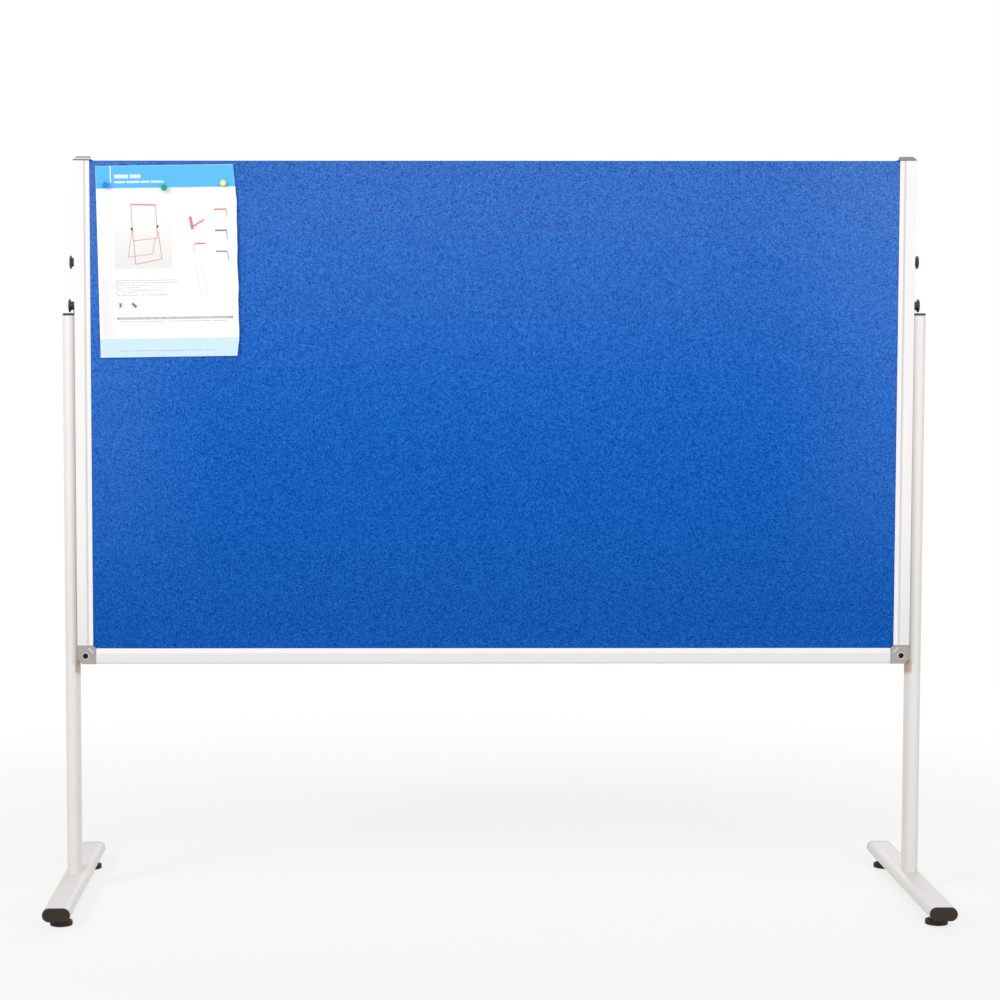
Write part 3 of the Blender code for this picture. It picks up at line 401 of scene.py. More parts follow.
def threaded(name, pitch, axis):
    """Zinc plated steel with its thread as fine rings across one axis."""
    made = coating(name, (0.60, 0.60, 0.61), 0.30, 1600, 0.06, 0.15, 1.0, 50)
    tree = made.node_tree
    ring = {"Vector": place_on(made), "Scale": 2 * math.pi / pitch / 20}
    rings = wired(tree, "TexWave", ring, bands_direction=axis, wave_profile="SIN")
    socket = tree.nodes["Principled BSDF"].inputs["Normal"]
    fine = socket.links[0].from_socket
    heights = {"Strength": 0.8, "Distance": 0.0006, "Height": rings.outputs["Fac"], "Normal": fine}
    tree.links.new(wired(tree, "Bump", heights).outputs["Normal"], socket)
    return made


stem_skin = threaded("plated_stem", 0.00125, "Z")
pad = rod("rubber_pad_left_front", 0.0195, 0.008, (GLIDE_X, GLIDE_FRONT, 0.004))
pick("EDGE", lambda co: co.z < 0.0001)
bpy.ops.mesh.bevel(offset=0.0012, segments=3)
pick("EDGE", lambda co: co.z > 0.0079)
bpy.ops.mesh.bevel(offset=0.0016, segments=4)
pick("FACE", lambda co, normal: normal.z > 0.99)
bpy.ops.mesh.inset(thickness=0.0024)
bpy.ops.transform.translate(value=(0, 0, 0.0010))
bpy.ops.mesh.inset(thickness=0.0075)
pull((0, 0, 0.0017))
bpy.ops.mesh.inset(thickness=0.0032)
pull((0, 0, -0.0067))
end()
to_rear = (0, GLIDE_REAR - GLIDE_FRONT, 0)
pads = {
    "left_front": pad,
    "left_rear": twin(pad, "rubber_pad_left_rear", to_rear),
    "right_front": twin(pad, "rubber_pad_right_front", flip="X"),
    "right_rear": twin(pad, "rubber_pad_right_rear", to_rear, "X"),
}
for corner, piece in pads.items():
    mount(piece, f"glide_{corner}", "black_rubber", rubber_skin, f"glide_pad_{corner}")
    recoat(stem_skin, f"glide_stem_{corner}")
    recoat(bush_skin, f"glide_bush_{corner}")

# Each post is capped by a black moulding: a thin domed lid, a plug inside the tube, and an upright
# ear on the board's side that the clamping knob's stud passes through.
cap_skin = coating("post_cap_moulding", (0.034, 0.032, 0.031), 0.42, 1300, 0.10, 0.10, 0.0, 30)
EAR_X = -0.75075
CLAMP_Z = 1.0619
STUD_HOLE = 0.0033
cap = rod("post_lid_left", TUBE_RADIUS, 0.004, (POST_X, MIDDLE_Y, 1.0466))
widen(1, MIDDLE_Y, OVAL_STRETCH)
pick("EDGE", lambda co: co.z > 1.0485)
bpy.ops.mesh.bevel(offset=0.0018, segments=5)
pick("FACE", lambda co, normal: normal.z < -0.9)
bpy.ops.mesh.inset(thickness=0.0018)
pull((0, 0, -0.0190))
pull((0, 0, -0.0030), (0.92, 0.96, 1), (POST_X, MIDDLE_Y, 1.0226))
end()
bpy.ops.object.select_all(action="DESELECT")
ear_place = (EAR_X, MIDDLE_Y, 1.0585)
bpy.ops.mesh.primitive_cube_add(size=1, location=ear_place, scale=(0.0045, 0.016, 0.0228))
ear = begin("cap_ear")
for way in (1, -1):
    pick("EDGE", lambda co: co.z > 1.0698 and way * (co.y - MIDDLE_Y) > 0.001)
    bpy.ops.mesh.bevel(offset=0.0070, segments=8)
end()
ease(ear, 0.0006, 2, 50)
applied(cap, "BOOLEAN", operation="UNION", object=ear, solver="EXACT")
bpy.data.objects.remove(ear)
drill(cap, (EAR_X, MIDDLE_Y, CLAMP_Z), STUD_HOLE, 0.010, ALONG_X)
right_cap = twin(cap, "post_lid_right", flip="X")
mount(cap, "stand", "black_plastic", cap_skin, "post_cap_left")
mount(right_cap, "stand", "black_plastic", cap_skin, "post_cap_right")

# A nylon shoe is screwed to the inner wall of each post. It runs in the T-slot of the side bar and
# keeps the board upright on its legs while it is raised.
nylon_skin = coating("nylon_shoe_skin", (0.74, 0.72, 0.66), 0.5, 900, 0.04, 0.08, 0.0, 40)
plated_skin = coating("plated_steel_skin", (0.60, 0.60, 0.61), 0.30, 1600, 0.06, 0.12, 1.0, 50)
for side in ("left", "right"):
    recoat(nylon_skin, f"guide_shoe_{side}")
    recoat(plated_skin, f"guide_screw_{side}")

# The board's frame is three lengths of extruded aluminium, powder coated a clean white. The side
# bars have a cradle and a T-slot for the post, and the felt panel slides into the inner groove.


def eased_copy(node, name, width, segments=2):
    """A copy of a node with its loose faces merged and its corners eased as on the real part."""
    copy = nodes[node].copy()
    copy.data = nodes[node].data.copy()
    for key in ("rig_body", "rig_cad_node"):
        del copy[key]
    copy.name = name
    copy.parent = None
    bpy.context.scene.collection.objects.link(copy)
    alone(copy)
    bpy.ops.object.mode_set(mode="EDIT")
    bpy.ops.mesh.select_all(action="SELECT")
    bpy.ops.mesh.remove_doubles(threshold=0.00001)
    bpy.ops.mesh.dissolve_limited(angle_limit=math.radians(0.4))
    end()
    ease(copy, width, segments, 50)
    return copy


FRAME_DEPTH = 0.040
FRAME_FACES = {"front": (0, 1), "rear": (FRAME_DEPTH, -1)}


def shift_near(spread, depth, step, out):
    """Moves the points of a bar copy within a span of distances from the middle and of depths."""
    for face, way in FRAME_FACES.values():
        pick(
            "VERT",
            lambda co: spread[0] < abs(co.x) < spread[1] and depth[0] < way * (co.y - face) < depth[1],
        )
        bpy.ops.transform.translate(value=(-out * step[0], way * step[1], 0))


bar_white = coating("frame_powder_coat", (0.885, 0.872, 0.860), 0.30, 900, 0.010, 0.03)
# Painted shade: the side bars darken towards the bottom, as if lit from above.
low = beyond(bar_white, "Z", (), 0.66, 0.42)
outer = beyond(bar_white, "X", (0,), 0.7300, 0.7312)
toned(bar_white, crossed(bar_white, low, outer), (0.79, 0.78, 0.77))
# Painted shade: a grey line in the groove beside the felt, on the front and rear faces.
line = beyond(bar_white, "X", (0, 0.7306), 0.0029, 0.0004)
faces = beyond(bar_white, "Y", (MIDDLE_Y,), 0.0180, 0.0186)
toned(bar_white, crossed(bar_white, line, faces), (0.63, 0.615, 0.60))
sill_white = coating("sill_powder_coat", (0.905, 0.892, 0.880), 0.30, 900, 0.010, 0.03)
# Painted shade: the bottom bar's face below its lip is painted darker, as the lip catches more of the
# light.
toned(sill_white, beyond(sill_white, "Z", (), 0.4379, 0.4367), (0.80, 0.79, 0.78))
for side in ("left", "right"):
    bar = eased_copy(f"side_bar_{side}", f"coated_side_bar_{side}", 0.0002)
    out = 1 if side == "right" else -1
    alone(bar)
    bpy.ops.object.mode_set(mode="EDIT")
    shift_near((0.7326, 0.7332), (0.0002, 0.0008), (0.0018, 0.0007), out)
    shift_near((0.7319, 0.7326), (-0.0001, 0.0002), (0.0024, 0.0002), out)
    shift_near((0.7332, 0.7339), (-0.0001, 0.0002), (0.0010, 0), out)
    end()
    mount(bar, "board", "bar_coat", bar_white, f"side_bar_{side}")
bar = eased_copy("bottom_bar", "coated_bottom_bar", 0.0002)
mount(bar, "board", "bar_coat", sill_white, "bottom_bar")

# The lower corners are grey mouldings whose legs push into the bars. On each face a black socket
# screw sits in a counterbore, and a raised rib crosses the corner on the felt's side.
grey_skin = coating("grey_moulding", (0.385, 0.358, 0.340), 0.42, 1200, 0.05, 0.10, 0.0, 25)
screw_skin = coating("blackened_screw", (0.009, 0.008, 0.008), 0.45, 1500, 0.15, 0.1, 0.0, 60)
screw_skin.node_tree.nodes["Principled BSDF"].inputs["Specular IOR Level"].default_value = 0.25
washer_skin = coating("cup_washer_plating", (0.66, 0.655, 0.66), 0.42, 1500, 0.06, 0.1, 0.35, 60)
# Painted highlight: the raised rib's crest is painted paler.
toned(grey_skin, beyond(grey_skin, "Y", (MIDDLE_Y,), 0.0203, 0.0207), (0.60, 0.585, 0.57))
# Painted shadow: the corner's top edge under the side bar is painted dark.
toned(grey_skin, beyond(grey_skin, "Z", (), 0.4502, 0.4507), (0.27, 0.255, 0.245))
SCREW_X = 0.7354
SCREW_Z = 0.4323
WASHER_SINK = 0.00045
RIB_LIFT = 0.0005
for side in ("left", "right"):
    corner = eased_copy(f"corner_{side}", f"moulded_corner_{side}", 0.0004, 3)
    out = 1 if side == "right" else -1
    for face, way in FRAME_FACES.values():
        alone(corner)
        bpy.ops.object.mode_set(mode="EDIT")
        pick("VERT", lambda co: way * (face - co.y) > 0.0003)
        bpy.ops.transform.translate(value=(0, -way * RIB_LIFT, 0))
        end()
    mount(corner, "board", "grey_plastic", grey_skin, f"corner_{side}")
    recoat(screw_skin, f"corner_screw_{side}_front", f"corner_screw_{side}_rear")
    for word, (face, way) in FRAME_FACES.items():
        middle = (out * SCREW_X, face + way * WASHER_SINK, SCREW_Z)
        bpy.ops.object.select_all(action="DESELECT")
        bpy.ops.mesh.primitive_torus_add(
            location=middle,
            rotation=(math.pi / 2, 0, 0),
            major_radius=0.00595,
            minor_radius=0.00085,
            major_segments=48,
            minor_segments=12,
        )
        washer = begin(f"cup_washer_{side}_{word}")
        bpy.ops.mesh.select_all(action="SELECT")
        bpy.ops.transform.resize(value=(1, 0.41, 1), center_override=middle)
        end()
        mount(washer, "board", "bright_steel", washer_skin)

# Moulded caps close the side bars at the top. They overhang a little in front, behind and outside,
# and their sloping inner ends hold the panel's upper corners down.
# Painted light and shade: the two caps are one moulding, painted pale on the left and dark on the right
# for how the light falls on each.
for side, out, shade in (("left", -1, (0.74, 0.73, 0.73)), ("right", 1, (0.245, 0.24, 0.235))):
    cap_grey = coating(f"end_cap_moulding_{side}", shade, 0.30, 1200, 0.05, 0.10, 0.0, 25)
    if side == "left":
        # Painted highlight: a pale band across the middle of the left cap, with painted shade above and
        # below it.
        toned(cap_grey, beyond(cap_grey, "Z", (1.3226,), 0.0007, 0.0014), (0.21, 0.205, 0.20))
    lid = eased_copy(f"end_cap_{side}", f"moulded_end_cap_{side}", 0.0009, 4)
    alone(lid)
    bpy.ops.object.mode_set(mode="EDIT")
    bpy.ops.mesh.select_all(action="SELECT")
    bpy.ops.mesh.bisect(
        plane_co=(out * 0.7440, 0, 1.3275),
        plane_no=(out * 0.72, 0, 0.69),
        use_fill=True,
        clear_outer=True,
    )
    pick("VERT", lambda co: co.z > 1.3240)
    bpy.ops.transform.translate(value=(0, 0, -0.0014))
    end()
    mount(lid, "board", "grey_plastic", cap_grey, f"end_cap_{side}")

# The panel is a stiff fibre board. One piece of needled blue felt is glued to its front, folded
# over the open top edge and glued down the back, and the frame's lips hold its other edges.
core_skin = coating("core_board_skin", (0.55, 0.42, 0.28), 0.9, 500, 0.12, 0.5, 0.0, 60)
recoat(core_skin, "panel_core")

FELT_REACH = 0.731
FELT_LOW = 0.4367
FELT_TOP = 1.3192
FELT_FACE = 0.0173
FELT_FOLD = 0.0032
FELT_THICKNESS = 0.0025
FELT_ROWS = 70
FELT_COLUMNS = 110
FOLD_ROWS = 6


def felt_skin():
    """Needled felt: short matted fibres, a soft mottle and a few pale flecks of lint."""
    made, tree, shader = fresh_skin("needled_blue_felt")
    place = wired(tree, "TexCoord", {}).outputs["Object"]
    spot = wired(tree, "SeparateXYZ", {"Vector": place}).outputs
    # The flat face is moved off the planes of the noises' lattice, where they lose contrast.
    off_lattice = (0, 0.0006, 0)
    moved = wired(tree, "Mapping", {"Vector": place, "Location": off_lattice}).outputs["Vector"]

    def cloud(scale, detail, rough):
        inputs = {"Vector": moved, "Scale": scale, "Detail": detail, "Roughness": rough}
        return wired(tree, "TexNoise", inputs).outputs["Fac"]

    def blended(value, start, finish, below, above):
        """Maps the span of a value onto a blend of two colours."""
        return mixed(tree, spanned(tree, value, start, finish), below, above)

    def worked(operation, *sources):
        """One step of arithmetic on colours."""
        node = wired(tree, "VectorMath", dict(enumerate(sources)), operation=operation)
        return node.outputs["Vector"]

    mottle = cloud(230, 4, 0.7)
    fibre = cloud(760, 1, 0.5)
    color = blended(mottle, 0.29, 0.71, (0.0002, 0.077, 0.41), (0.0114, 0.145, 0.58))
    # Painted shade: the felt is darkened below its middle and a little towards its top, as the light
    # falls on it.
    for start, finish, least in ((0.84, 0.50, 0.86), (1.04, 1.30, 0.90)):
        color = worked("MULTIPLY", color, spanned(tree, spot["Z"], start, finish, 1, least))
    color = blended(cloud(330, 1, 0.4), 0.78, 0.84, color, (0.06, 0.24, 0.70))

    # Painted light: a whitish haze lifts the felt's colour, most of all towards the top and the sides.
    upper = spanned(tree, spot["Z"], 0.78, 1.38, 0, 0.75, "SMOOTHSTEP")
    outward = reckoned(tree, "ABSOLUTE", spot["X"])
    flanks = spanned(tree, outward, 0.45, 0.75, 0, 0.40, "SMOOTHSTEP")
    above = spanned(tree, spot["Z"], 0.45, 0.85, curve="SMOOTHSTEP")
    painted_haze = reckoned(tree, "ADD", upper, reckoned(tree, "MULTIPLY", flanks, above))
    hazed_color = mixed(tree, 1.0, color, (0.047, 0.065, 0.094), "ADD")
    color = blended(painted_haze, 0, 1, color, hazed_color)

    # Single fibres stand out paler or darker than the felt under them.
    contrast = blended(painted_haze, 0, 1, (0.014, 0.073, 0.156), (0.052, 0.085, 0.144))
    contrast = blended(spot["Z"], 0.50, 0.84, (0.011, 0.056, 0.126), contrast)
    tuft = spanned(tree, fibre, 0.34, 0.66, -1, 1)
    color = worked("MAXIMUM", worked("MULTIPLY_ADD", tuft, contrast, color), (0, 0, 0))

    nap = wired(tree, "Bump", {"Strength": 0.6, "Distance": 0.0008, "Height": fibre}).outputs["Normal"]
    lumps = {"Strength": 0.35, "Distance": 0.0015, "Height": mottle, "Normal": nap}
    looks = {
        "Base Color": color,
        "Roughness": 0.95,
        "Specular IOR Level": 0.06,
        "Sheen Weight": 0.06,
        "Sheen Roughness": 0.5,
        "Sheen Tint": (0.45, 0.62, 1.0, 1),
        "Normal": wired(tree, "Bump", lumps).outputs["Normal"],
    }
    filled(tree, shader, looks)
    return made


def woven_grid(name, rows, columns, place_of):
    """A sheet's mesh from a grid of places."""
    points = [place_of(row, column) for row in range(rows) for column in range(columns)]
    faces = []
    for row in range(rows - 1):
        for column in range(columns - 1):
            first = row * columns + column
            faces.append((first, first + 1, first + columns + 1, first + columns))
    mesh = bpy.data.meshes.new(name)
    mesh.from_pydata(points, [], faces)
    piece = bpy.data.objects.new(name, mesh)
    bpy.context.scene.collection.objects.link(piece)
    return piece


felt_rise = FELT_TOP - FELT_FOLD - FELT_LOW
front_path = [(-FELT_FACE, FELT_LOW + felt_rise * k / FELT_ROWS) for k in range(FELT_ROWS + 1)]
for k in range(1, FOLD_ROWS + 1):
    turn = math.pi / 2 * k / FOLD_ROWS
    across = FELT_FOLD * (1 - math.cos(turn)) - FELT_FACE
    front_path.append((across, FELT_TOP - FELT_FOLD * (1 - math.sin(turn))))
whole_path = front_path + [(0, FELT_TOP)] + [(-y, z) for y, z in reversed(front_path)]


def felt_place(row, column):
    """A point of the felt's outer face, which the glue leaves very slightly uneven."""
    y, z = whole_path[row]
    x = FELT_REACH * (2 * column / FELT_COLUMNS - 1)
    edge = min(FELT_REACH - abs(x), z - FELT_LOW, FELT_TOP - z)
    calm = min(max(edge / 0.03, 0), 1)
    uneven = 0.00016 * calm * (noise.noise(Vector((x * 9, y * 40, z * 9))) - 0.3)
    return x, MIDDLE_Y + y + math.copysign(uneven, y), z


felt = woven_grid("felt_over_panel", len(whole_path), FELT_COLUMNS + 1, felt_place)
applied(felt, "SOLIDIFY", thickness=FELT_THICKNESS, offset=-1)
mount(felt, "board", "blue_felt", felt_skin(), "felt_cover")

# A printed leaflet hangs by three pins. The paper is thin, so it bows away from the felt along its
# free right edge and at the bottom. Its print is a plain layout of bars, blocks and outlines.
PAGE_WIDTH = 0.250
PAGE_HEIGHT = 0.3402
PAGE_SLACK_WIDTH = 0.2453
PRINT_HEIGHT = 342
PAGE_ROWS = 84
PAGE_COLUMNS = 60
page_centre = Vector((-0.58220, 0.0, 1.14100))

# The right edge's swelling in millimetres, by the share of the way down the page
SWELLS = ((0, -0.3), (0.14, 1.9), (0.20, 4.0), (0.27, 4.1), (0.34, 5.0), (0.42, 4.7), (0.52, 2.3))
SWELLS += ((0.58, 2.4), (0.64, 3.3), (0.70, 2.4), (0.77, 3.4), (0.86, 4.3), (0.91, 3.6), (0.95, 1.0))
SWELLS += ((1, -1.6),)


def page_reach(down):
    """The paper's width in metres at one height, with its right edge swollen by damp."""
    for (start, first), (stop, last) in zip(SWELLS, SWELLS[1:]):
        if down < stop + 0.0001:
            share = (down - start) / (stop - start)
            swell = first + (last - first) * (3 - 2 * share) * share**2
            return PAGE_SLACK_WIDTH + swell / 1000
    return PAGE_SLACK_WIDTH


def page_place(row, column):
    """A point of the paper, flat at the pins and bowed outwards at its free edges."""
    across = column / PAGE_COLUMNS
    down = row / PAGE_ROWS
    x = across * page_reach(down) - 0.5 * PAGE_WIDTH
    z = (0.5 - down) * PAGE_HEIGHT
    lean, tilt = math.radians(1.25), math.radians(0.87)
    spot_x = x * math.cos(tilt) - z * math.sin(lean)
    spot_z = x * math.sin(tilt) + z * math.cos(lean)
    free = max(across - 0.70, 0) / 0.30
    low = max(down - 0.45, 0) / 0.55
    high = max(0.09 - down, 0) / 0.09
    bow = 0.0048 * free**2 * (0.35 + 0.65 * math.sin(math.pi * min(down * 1.15, 1)) ** 2)
    bow += 0.0026 * low**2 * (0.6 + 0.4 * math.cos(5.2 * across))
    bow += 0.0016 * high * (0.5 + 0.5 * math.cos(9.5 * across + 0.6))
    bow += 0.0006 * math.sin(across * 5.2 + 0.4) ** 2 * min(down * 3, 1)
    spot_x += 0.0011 * free**3 * math.sin(down * 13.0)
    return page_centre.x + spot_x, 0.0016 - bow, page_centre.z + spot_z


def page_skin():
    """Coated paper with its print, laid out in millimetres from the page's top left corner."""
    made, tree, shader = fresh_skin("printed_page")
    spot = wired(tree, "UVMap", {}, uv_map="page").outputs["UV"]
    parts = wired(tree, "SeparateXYZ", {"Vector": spot}).outputs

    def within(middle, half, turn=0.0, rounded=False):
        """1 inside a rectangle or an ellipse on the page, and 0 outside it."""
        local = {"Vector": spot, "Location": (*middle, 0), "Rotation": (0, 0, turn), "Scale": (*half, 1)}
        local = wired(tree, "Mapping", local, vector_type="TEXTURE").outputs["Vector"]
        if rounded:
            away = wired(tree, "VectorMath", {0: local}, operation="LENGTH").outputs["Value"]
        else:
            sides = wired(tree, "VectorMath", {0: local}, operation="ABSOLUTE").outputs["Vector"]
            ways = wired(tree, "SeparateXYZ", {"Vector": sides}).outputs
            away = reckoned(tree, "MAXIMUM", ways["X"], ways["Y"])
        return reckoned(tree, "LESS_THAN", away, 1.0)

    def block(left, right, top, bottom):
        return within(((left + right) / 2, (top + bottom) / 2), ((right - left) / 2, (bottom - top) / 2))

    def stroke(start, finish, width):
        run = Vector(finish) - Vector(start)
        middle = (Vector(start) + Vector(finish)) / 2
        return within(tuple(middle), (run.length / 2, width / 2), math.atan2(run.y, run.x))

    def path(width, *points):
        return [stroke(start, finish, width) for start, finish in zip(points, points[1:])]

    def words(mask, pitch, lead=0.0):
        """Breaks a bar into short runs with gaps like those between words."""
        stretch = {"Vector": spot, "Location": (lead, 0, 0), "Scale": (1 / pitch, 0.22, 1)}
        place = wired(tree, "Mapping", stretch).outputs["Vector"]
        beat = wired(tree, "TexNoise", {"Vector": place, "Scale": 1.0, "Detail": 2.0}).outputs["Fac"]
        return reckoned(tree, "MULTIPLY", mask, reckoned(tree, "GREATER_THAN", beat, 0.44))

    def faded(mask, axis, start, finish):
        """A mask that grows from nothing to full along the page."""
        return reckoned(tree, "MULTIPLY", mask, spanned(tree, parts[axis], start, finish))

    paper = (0.93, 0.94, 0.945)
    red = (0.72, 0.075, 0.045)
    page = paper

    def inked(masks, ink, strength=1.0):
        """Prints an ink over the page wherever any of the masks is full."""
        nonlocal page
        whole = masks[0]
        for mask in masks[1:]:
            whole = reckoned(tree, "MAXIMUM", whole, mask)
        page = mixed(tree, reckoned(tree, "MULTIPLY", whole, strength), page, ink)

    # Painted shade: a pale warm-grey column fading in towards the left edge at the bottom of the page,
    # for the shade of the bent paper.
    inked([faded(block(6, 46, 198, 309), "X", 46, 6)], (0.80, 0.77, 0.76), 0.6)
    picture = block(29.4, 132.7, 57, 184)
    inked([picture], (0.86, 0.855, 0.85), 0.5)
    inked([faded(picture, "Y", 90, 188)], (0.70, 0.69, 0.68), 0.5)
    inked([block(-1, 256, -1, 40.1)], (0.105, 0.495, 0.90))
    inked([block(0, 0.9, 0, 40.1), block(0, 256, 0, 0.8)], (0.50, 0.78, 0.96), 0.7)
    inked([block(25.6, 27.4, 0, 30)], (0.88, 0.92, 0.95))
    title = [block(left, right, 16, 22.5) for left, right in ((33, 58), (61, 80))]
    title += [block(left, right, 27.5, 31) for left, right in ((33, 52), (54, 78), (80, 96), (98, 121))]
    inked(title, (0.90, 0.94, 0.97), 0.8)
    inked([block(-1, 256, 309, 343)], (0.61, 0.81, 0.91))
    board = path(2.6, (61, 69), (105, 71))
    board += path(1.3, (61, 69), (64, 134), (107, 130), (105, 71))
    board += path(1.1, (63, 112), (54, 163), (98, 158), (103, 131))
    board += path(1.3, (65, 133), (67, 176), (114, 167), (109, 118))
    inked(board, red, 0.8)
    bolts = [within((62, 113), (1.9, 2.8), 0, True), within((108, 109), (1.6, 2.6), 0, True)]
    inked(bolts, (0.05, 0.04, 0.04))
    clips = [
        stroke((166, 92), (170, 115), 5.4),
        stroke((169, 111), (191, 98), 3.0),
        stroke((209, 80), (231, 80), 2.8),
        stroke((231, 80), (232, 95), 1.2),
        stroke((173.3, 140.4), (192.3, 140.4), 2.6),
        stroke((172.3, 140.4), (171.3, 156.4), 1.1),
    ]
    inked(clips, red, 0.85)
    dark_clip = [stroke((210, 117.6), (231, 117.6), 2.8), stroke((231, 117.6), (232, 133.6), 1.3)]
    inked(dark_clip, (0.10, 0.065, 0.06), 0.85)
    blue_clip = [stroke((211, 155), (231, 155), 2.8), stroke((231, 155), (233, 171), 1.3)]
    inked(blue_clip, (0.11, 0.13, 0.50), 0.85)
    outline = path(0.7, (174, 185.5), (186, 182.5), (195, 225.5), (182, 228.5), (174, 185.5))
    inked(outline, (0.35, 0.35, 0.36), 0.6)
    lines = [
        words(block(31, 31 + length, 204 + 4.35 * k, 205.5 + 4.35 * k), 3.2, 7 * k)
        for k, length in enumerate((108, 112, 60, 42, 82, 34, 94))
    ]
    lines.append(words(block(34, 204, 330, 331.3), 3.6, 3))
    lines.append(words(block(39, 232, 277.5, 279), 5.0, 5))
    inked(lines, (0.30, 0.31, 0.33), 0.55)
    inked([within((x, 249), (6.2, 6.2), 0, True) for x in (38, 62)], (0.45, 0.45, 0.46), 0.5)
    inked([within((x, 249), (5.2, 5.2), 0, True) for x in (38, 62)], paper)
    marks = [block(36, 40, 245, 252.5), stroke((59, 245.5), (66, 252.5), 4.6)]
    inked(marks, (0.06, 0.055, 0.055), 0.85)
    inked([block(31, 239, 270.5, 274.5)], (0.34, 0.34, 0.345), 0.9)
    inked([words(block(36, 232, 271.6, 273.4), 7.0, 2)], (0.85, 0.85, 0.85), 0.6)
    fibre = wired(tree, "TexNoise", {"Vector": spot, "Scale": 0.9, "Detail": 3.0}).outputs["Fac"]
    page = mixed(tree, 1.0, page, spanned(tree, fibre, 0, 1, 0.985, 1.0), "MULTIPLY")
    tooth = wired(tree, "Bump", {"Strength": 0.05, "Distance": 0.0005, "Height": fibre})
    looks = {
        "Base Color": page,
        "Roughness": 0.42,
        "Specular IOR Level": 0.35,
        "Normal": tooth.outputs["Normal"],
    }
    filled(tree, shader, looks)
    return made


page = woven_grid("pinned_page", PAGE_ROWS + 1, PAGE_COLUMNS + 1, page_place)
lay = page.data.uv_layers.new(name="page")
for loop in page.data.loops:
    row, column = divmod(loop.vertex_index, PAGE_COLUMNS + 1)
    down = row / PAGE_ROWS
    lay.data[loop.index].uv = (column / PAGE_COLUMNS * page_reach(down) * 1000, down * PRINT_HEIGHT)
page.data.flip_normals()
applied(page, "SOLIDIFY", thickness=0.0003, offset=-1)
mount(page, "board", "paper", page_skin(), "notice_sheet")

# Three push pins hold the page. Each is a glossy spool of coloured polystyrene moulded on a steel
# needle, with a broad collar against the paper and a round head to press with.
PIN_PLACES = {
    "blue": ((-0.69239, 1.27523), (0.001, 0.27, 0.70)),
    "green": ((-0.58816, 1.27073), (0.0005, 0.37, 0.25)),
    "yellow": ((-0.48320, 1.27890), (0.88, 0.84, 0.31)),
}


def pin_skin(name, color):
    """Glossy translucent moulding that lets a little light through."""
    made = coating(name, color, 0.12, 800, 0.04, 0.02, 0.0, 90)
    looks = {
        "Subsurface Weight": 0.15,
        "Subsurface Scale": 0.002,
        "Specular IOR Level": 0.15,
        "Coat Weight": 0.25,
        "Coat Roughness": 0.06,
    }
    filled(made.node_tree, made.node_tree.nodes["Principled BSDF"], looks)
    return made


for color, ((pin_x, pin_z), shade) in PIN_PLACES.items():
    pin = rod(f"spool_pin_{color}", 0.0046, 0.0016, (pin_x, 0.0005, pin_z), ALONG_Y, 48)
    middle = (pin_x, 0, pin_z)
    pick("FACE", lambda co, normal: normal.y < -0.9)
    bpy.ops.mesh.inset(thickness=0.0011)
    bpy.ops.transform.translate(value=(0, -0.0004, 0))
    bpy.ops.mesh.inset(thickness=0.0007)
    for step, share in ((-0.0010, 0.96), (-0.0022, 0.98), (-0.0012, 1.10), (-0.0008, 1.30)):
        pull((0, step, 0), (share, 1, share), middle)
    pick("FACE", lambda co, normal: normal.y < -0.9 and co.y < -0.005)
    pull((0, -0.0004, 0), (1.46, 1, 1.46), middle)
    pull((0, -0.0009, 0))
    crown = ((-0.0006, 0.95), (-0.0005, 0.88), (-0.0003, 0.78), (-0.0002, 0.60), (-0.0001, 0.40))
    for step, share in crown:
        pull((0, step, 0), (share, 1, share), middle)
    pick("FACE", lambda co, normal: normal.y > 0.9 and co.y > 0.001)
    bpy.ops.mesh.inset(thickness=0.0040)
    pull((0, 0.0073, 0))
    pull((0, 0.0022, 0), (0.1, 1, 0.1), middle)
    end()
    mount(pin, f"pin_{color}", f"{color}_pin", pin_skin(f"{color}_spool", shade), f"push_pin_{color}")

# Two black fluted knobs a side hold the board. The lower one clamps the ear of the post's cap to
# the side bar, and the upper one is a stop. Each turns a plated stud in a nut in the T-slot.
knob_skin = coating("knob_moulding", (0.046, 0.040, 0.037), 0.33, 1300, 0.12, 0.10, 0.0, 60)
stud_skin = threaded("plated_stud", 0.001, "X")


def fluted_knob(name, seat, height, hub):
    """A left-hand knob from its seat outwards, with its hub towards the board."""
    disc_in = seat - hub
    knob = rod(name, 0.0118, 0.0036, (disc_in - 0.0018, MIDDLE_Y, height), ALONG_X)
    middle = (disc_in, MIDDLE_Y, height)
    pick("EDGE", lambda co: co.x < disc_in - 0.0035)
    bpy.ops.mesh.bevel(offset=0.0011, segments=4)
    pick("EDGE", lambda co: co.x > disc_in - 0.0001)
    bpy.ops.mesh.bevel(offset=0.0011, segments=4)
    pick("FACE", lambda co, normal: normal.x < -0.999)
    bpy.ops.mesh.inset(thickness=0.0024)
    bpy.ops.transform.translate(value=(-0.0005, 0, 0))
    bpy.ops.mesh.inset(thickness=0.0008)
    bpy.ops.transform.translate(value=(0.0004, 0, 0))
    pick("FACE", lambda co, normal: normal.x > 0.999)
    bpy.ops.mesh.inset(thickness=0.0026)
    for step in (0.0006, hub - 0.0006):
        pull((step, 0, 0), (1, 0.965, 0.965), middle)
    for reach, share in ((9.5, 0.985), (6.0, 0.972), (2.0, 0.985)):

        def in_flute(co, reach=reach):
            up, back = co.z - height, co.y - MIDDLE_Y
            angle = (math.degrees(math.atan2(up, back)) + 15) % 30
            return math.hypot(up, back) > 0.0095 and min(angle, 30 - angle) < reach

        pick("VERT", in_flute)
        bpy.ops.transform.resize(value=(1, share, share), center_override=middle)
    end()
    drill(knob, (seat - 0.00115, MIDDLE_Y, height), STUD_HOLE, 0.0103, ALONG_X)
    return knob


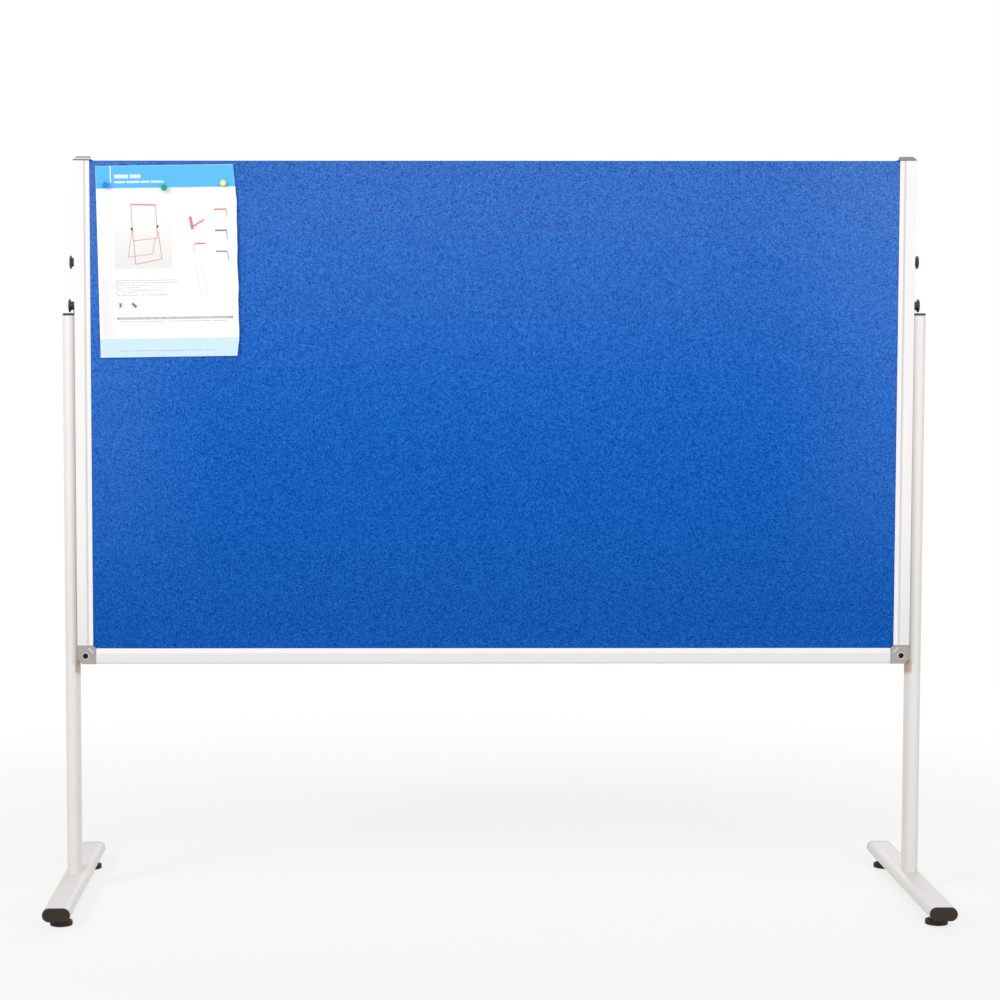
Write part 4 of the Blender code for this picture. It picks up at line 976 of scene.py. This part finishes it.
for kind, seat, height, hub in (
    ("clamp", -0.7533, CLAMP_Z, 0.0051),
    ("stop", -0.7480, 1.1394, 0.0077),
):
    left = fluted_knob(f"{kind}_grip_left", seat, height, hub)
    right = twin(left, f"{kind}_grip_right", flip="X")
    for side, knob in (("left", left), ("right", right)):
        mount(knob, f"{kind}_knob_{side}", "black_plastic", knob_skin, f"{kind}_knob_{side}")
        recoat(stud_skin, f"{kind}_stud_{side}")
        recoat(plated_skin, f"{kind}_nut_{side}")

# The studio: a white floor that keeps a faint shadow, a white surround, and broad soft lamps with
# the strongest one high at the front left.


def seen(tree):
    """Full where the backdrop is looked at, straight or in a reflection, and not where it lights."""
    rays = wired(tree, "LightPath", {}).outputs
    return reckoned(tree, "MAXIMUM", rays["Is Camera Ray"], rays["Is Glossy Ray"])


def white_floor():
    """White near the object with its shadow kept, and pure white further out."""
    made, tree, shader = fresh_skin("studio_floor")
    filled(tree, shader, {"Base Color": (0.86, 0.86, 0.86, 1), "Roughness": 0.8})
    glow = wired(tree, "Emission", {"Color": (1, 1, 1, 1)}).outputs["Emission"]
    place = wired(tree, "TexCoord", {}).outputs["Object"]
    away = wired(tree, "VectorMath", {0: place}, operation="LENGTH").outputs["Value"]
    share = reckoned(tree, "MULTIPLY", seen(tree), spanned(tree, away, 0.9, 2.2, 0.72, 1.0))
    mix = wired(tree, "MixShader", {0: share, 1: shader.outputs["BSDF"], 2: glow})
    filled(tree, tree.nodes["Material Output"], {"Surface": mix.outputs["Shader"]})
    return made


bpy.ops.object.select_all(action="DESELECT")
bpy.ops.mesh.primitive_plane_add(size=30, location=(0, 0, 0))
floor = bpy.context.object
floor.name = "studio_floor"
floor.data.materials.append(white_floor())

world = bpy.data.worlds.new("studio_surround")
world.use_nodes = True
bpy.context.scene.world = world
air = world.node_tree
tint = {"Color": (1.0, 0.99, 0.98, 1), "Strength": 0.47}
ambient = filled(air, air.nodes["Background"], tint).outputs[0]
white = wired(air, "Background", {"Color": (1, 1, 1, 1)}).outputs[0]
choose = wired(air, "MixShader", {0: seen(air), 1: ambient, 2: white})
filled(air, air.nodes["World Output"], {"Surface": choose.outputs[0]})


def softbox(name, place, target, size, power, color=(1, 1, 1)):
    """A square lamp that faces a point."""
    lamp = bpy.data.lights.new(name, "AREA")
    lamp.shape = "SQUARE"
    lamp.size = size
    lamp.energy = power
    lamp.color = color
    holder = bpy.data.objects.new(name, lamp)
    bpy.context.scene.collection.objects.link(holder)
    holder.location = place
    holder.rotation_euler = (Vector(target) - Vector(place)).to_track_quat("-Z", "Y").to_euler()


softbox("key", (-3.2, -3.3, 3.0), (-0.1, 0, 0.9), 1.1, 88, (1.0, 0.99, 0.97))
softbox("fill", (3.4, -3.6, 1.8), (0.1, 0, 0.8), 2.4, 52, (0.99, 0.99, 1.0))
softbox("top", (0.2, -1.9, 2.6), (0, 0, 1.25), 1.6, 12)
softbox("back", (0.6, 3.6, 2.4), (0, 0, 0.8), 2.4, 40)

camera = bpy.data.cameras.new("studio_camera")
camera.sensor_width = 36
camera.lens = 89.505
camera.shift_x = 0.10682
camera.shift_y = -0.00045
camera.clip_end = 60
tripod = bpy.data.objects.new("studio_camera", camera)
tripod.location = (-0.20679, -4.44992, 1.03004)
tripod.rotation_euler = (math.radians(85.951), math.radians(-0.008), math.radians(-0.3285))
bpy.context.scene.collection.objects.link(tripod)
bpy.context.scene.camera = tripod
bpy.context.scene.view_settings.view_transform = "Standard"
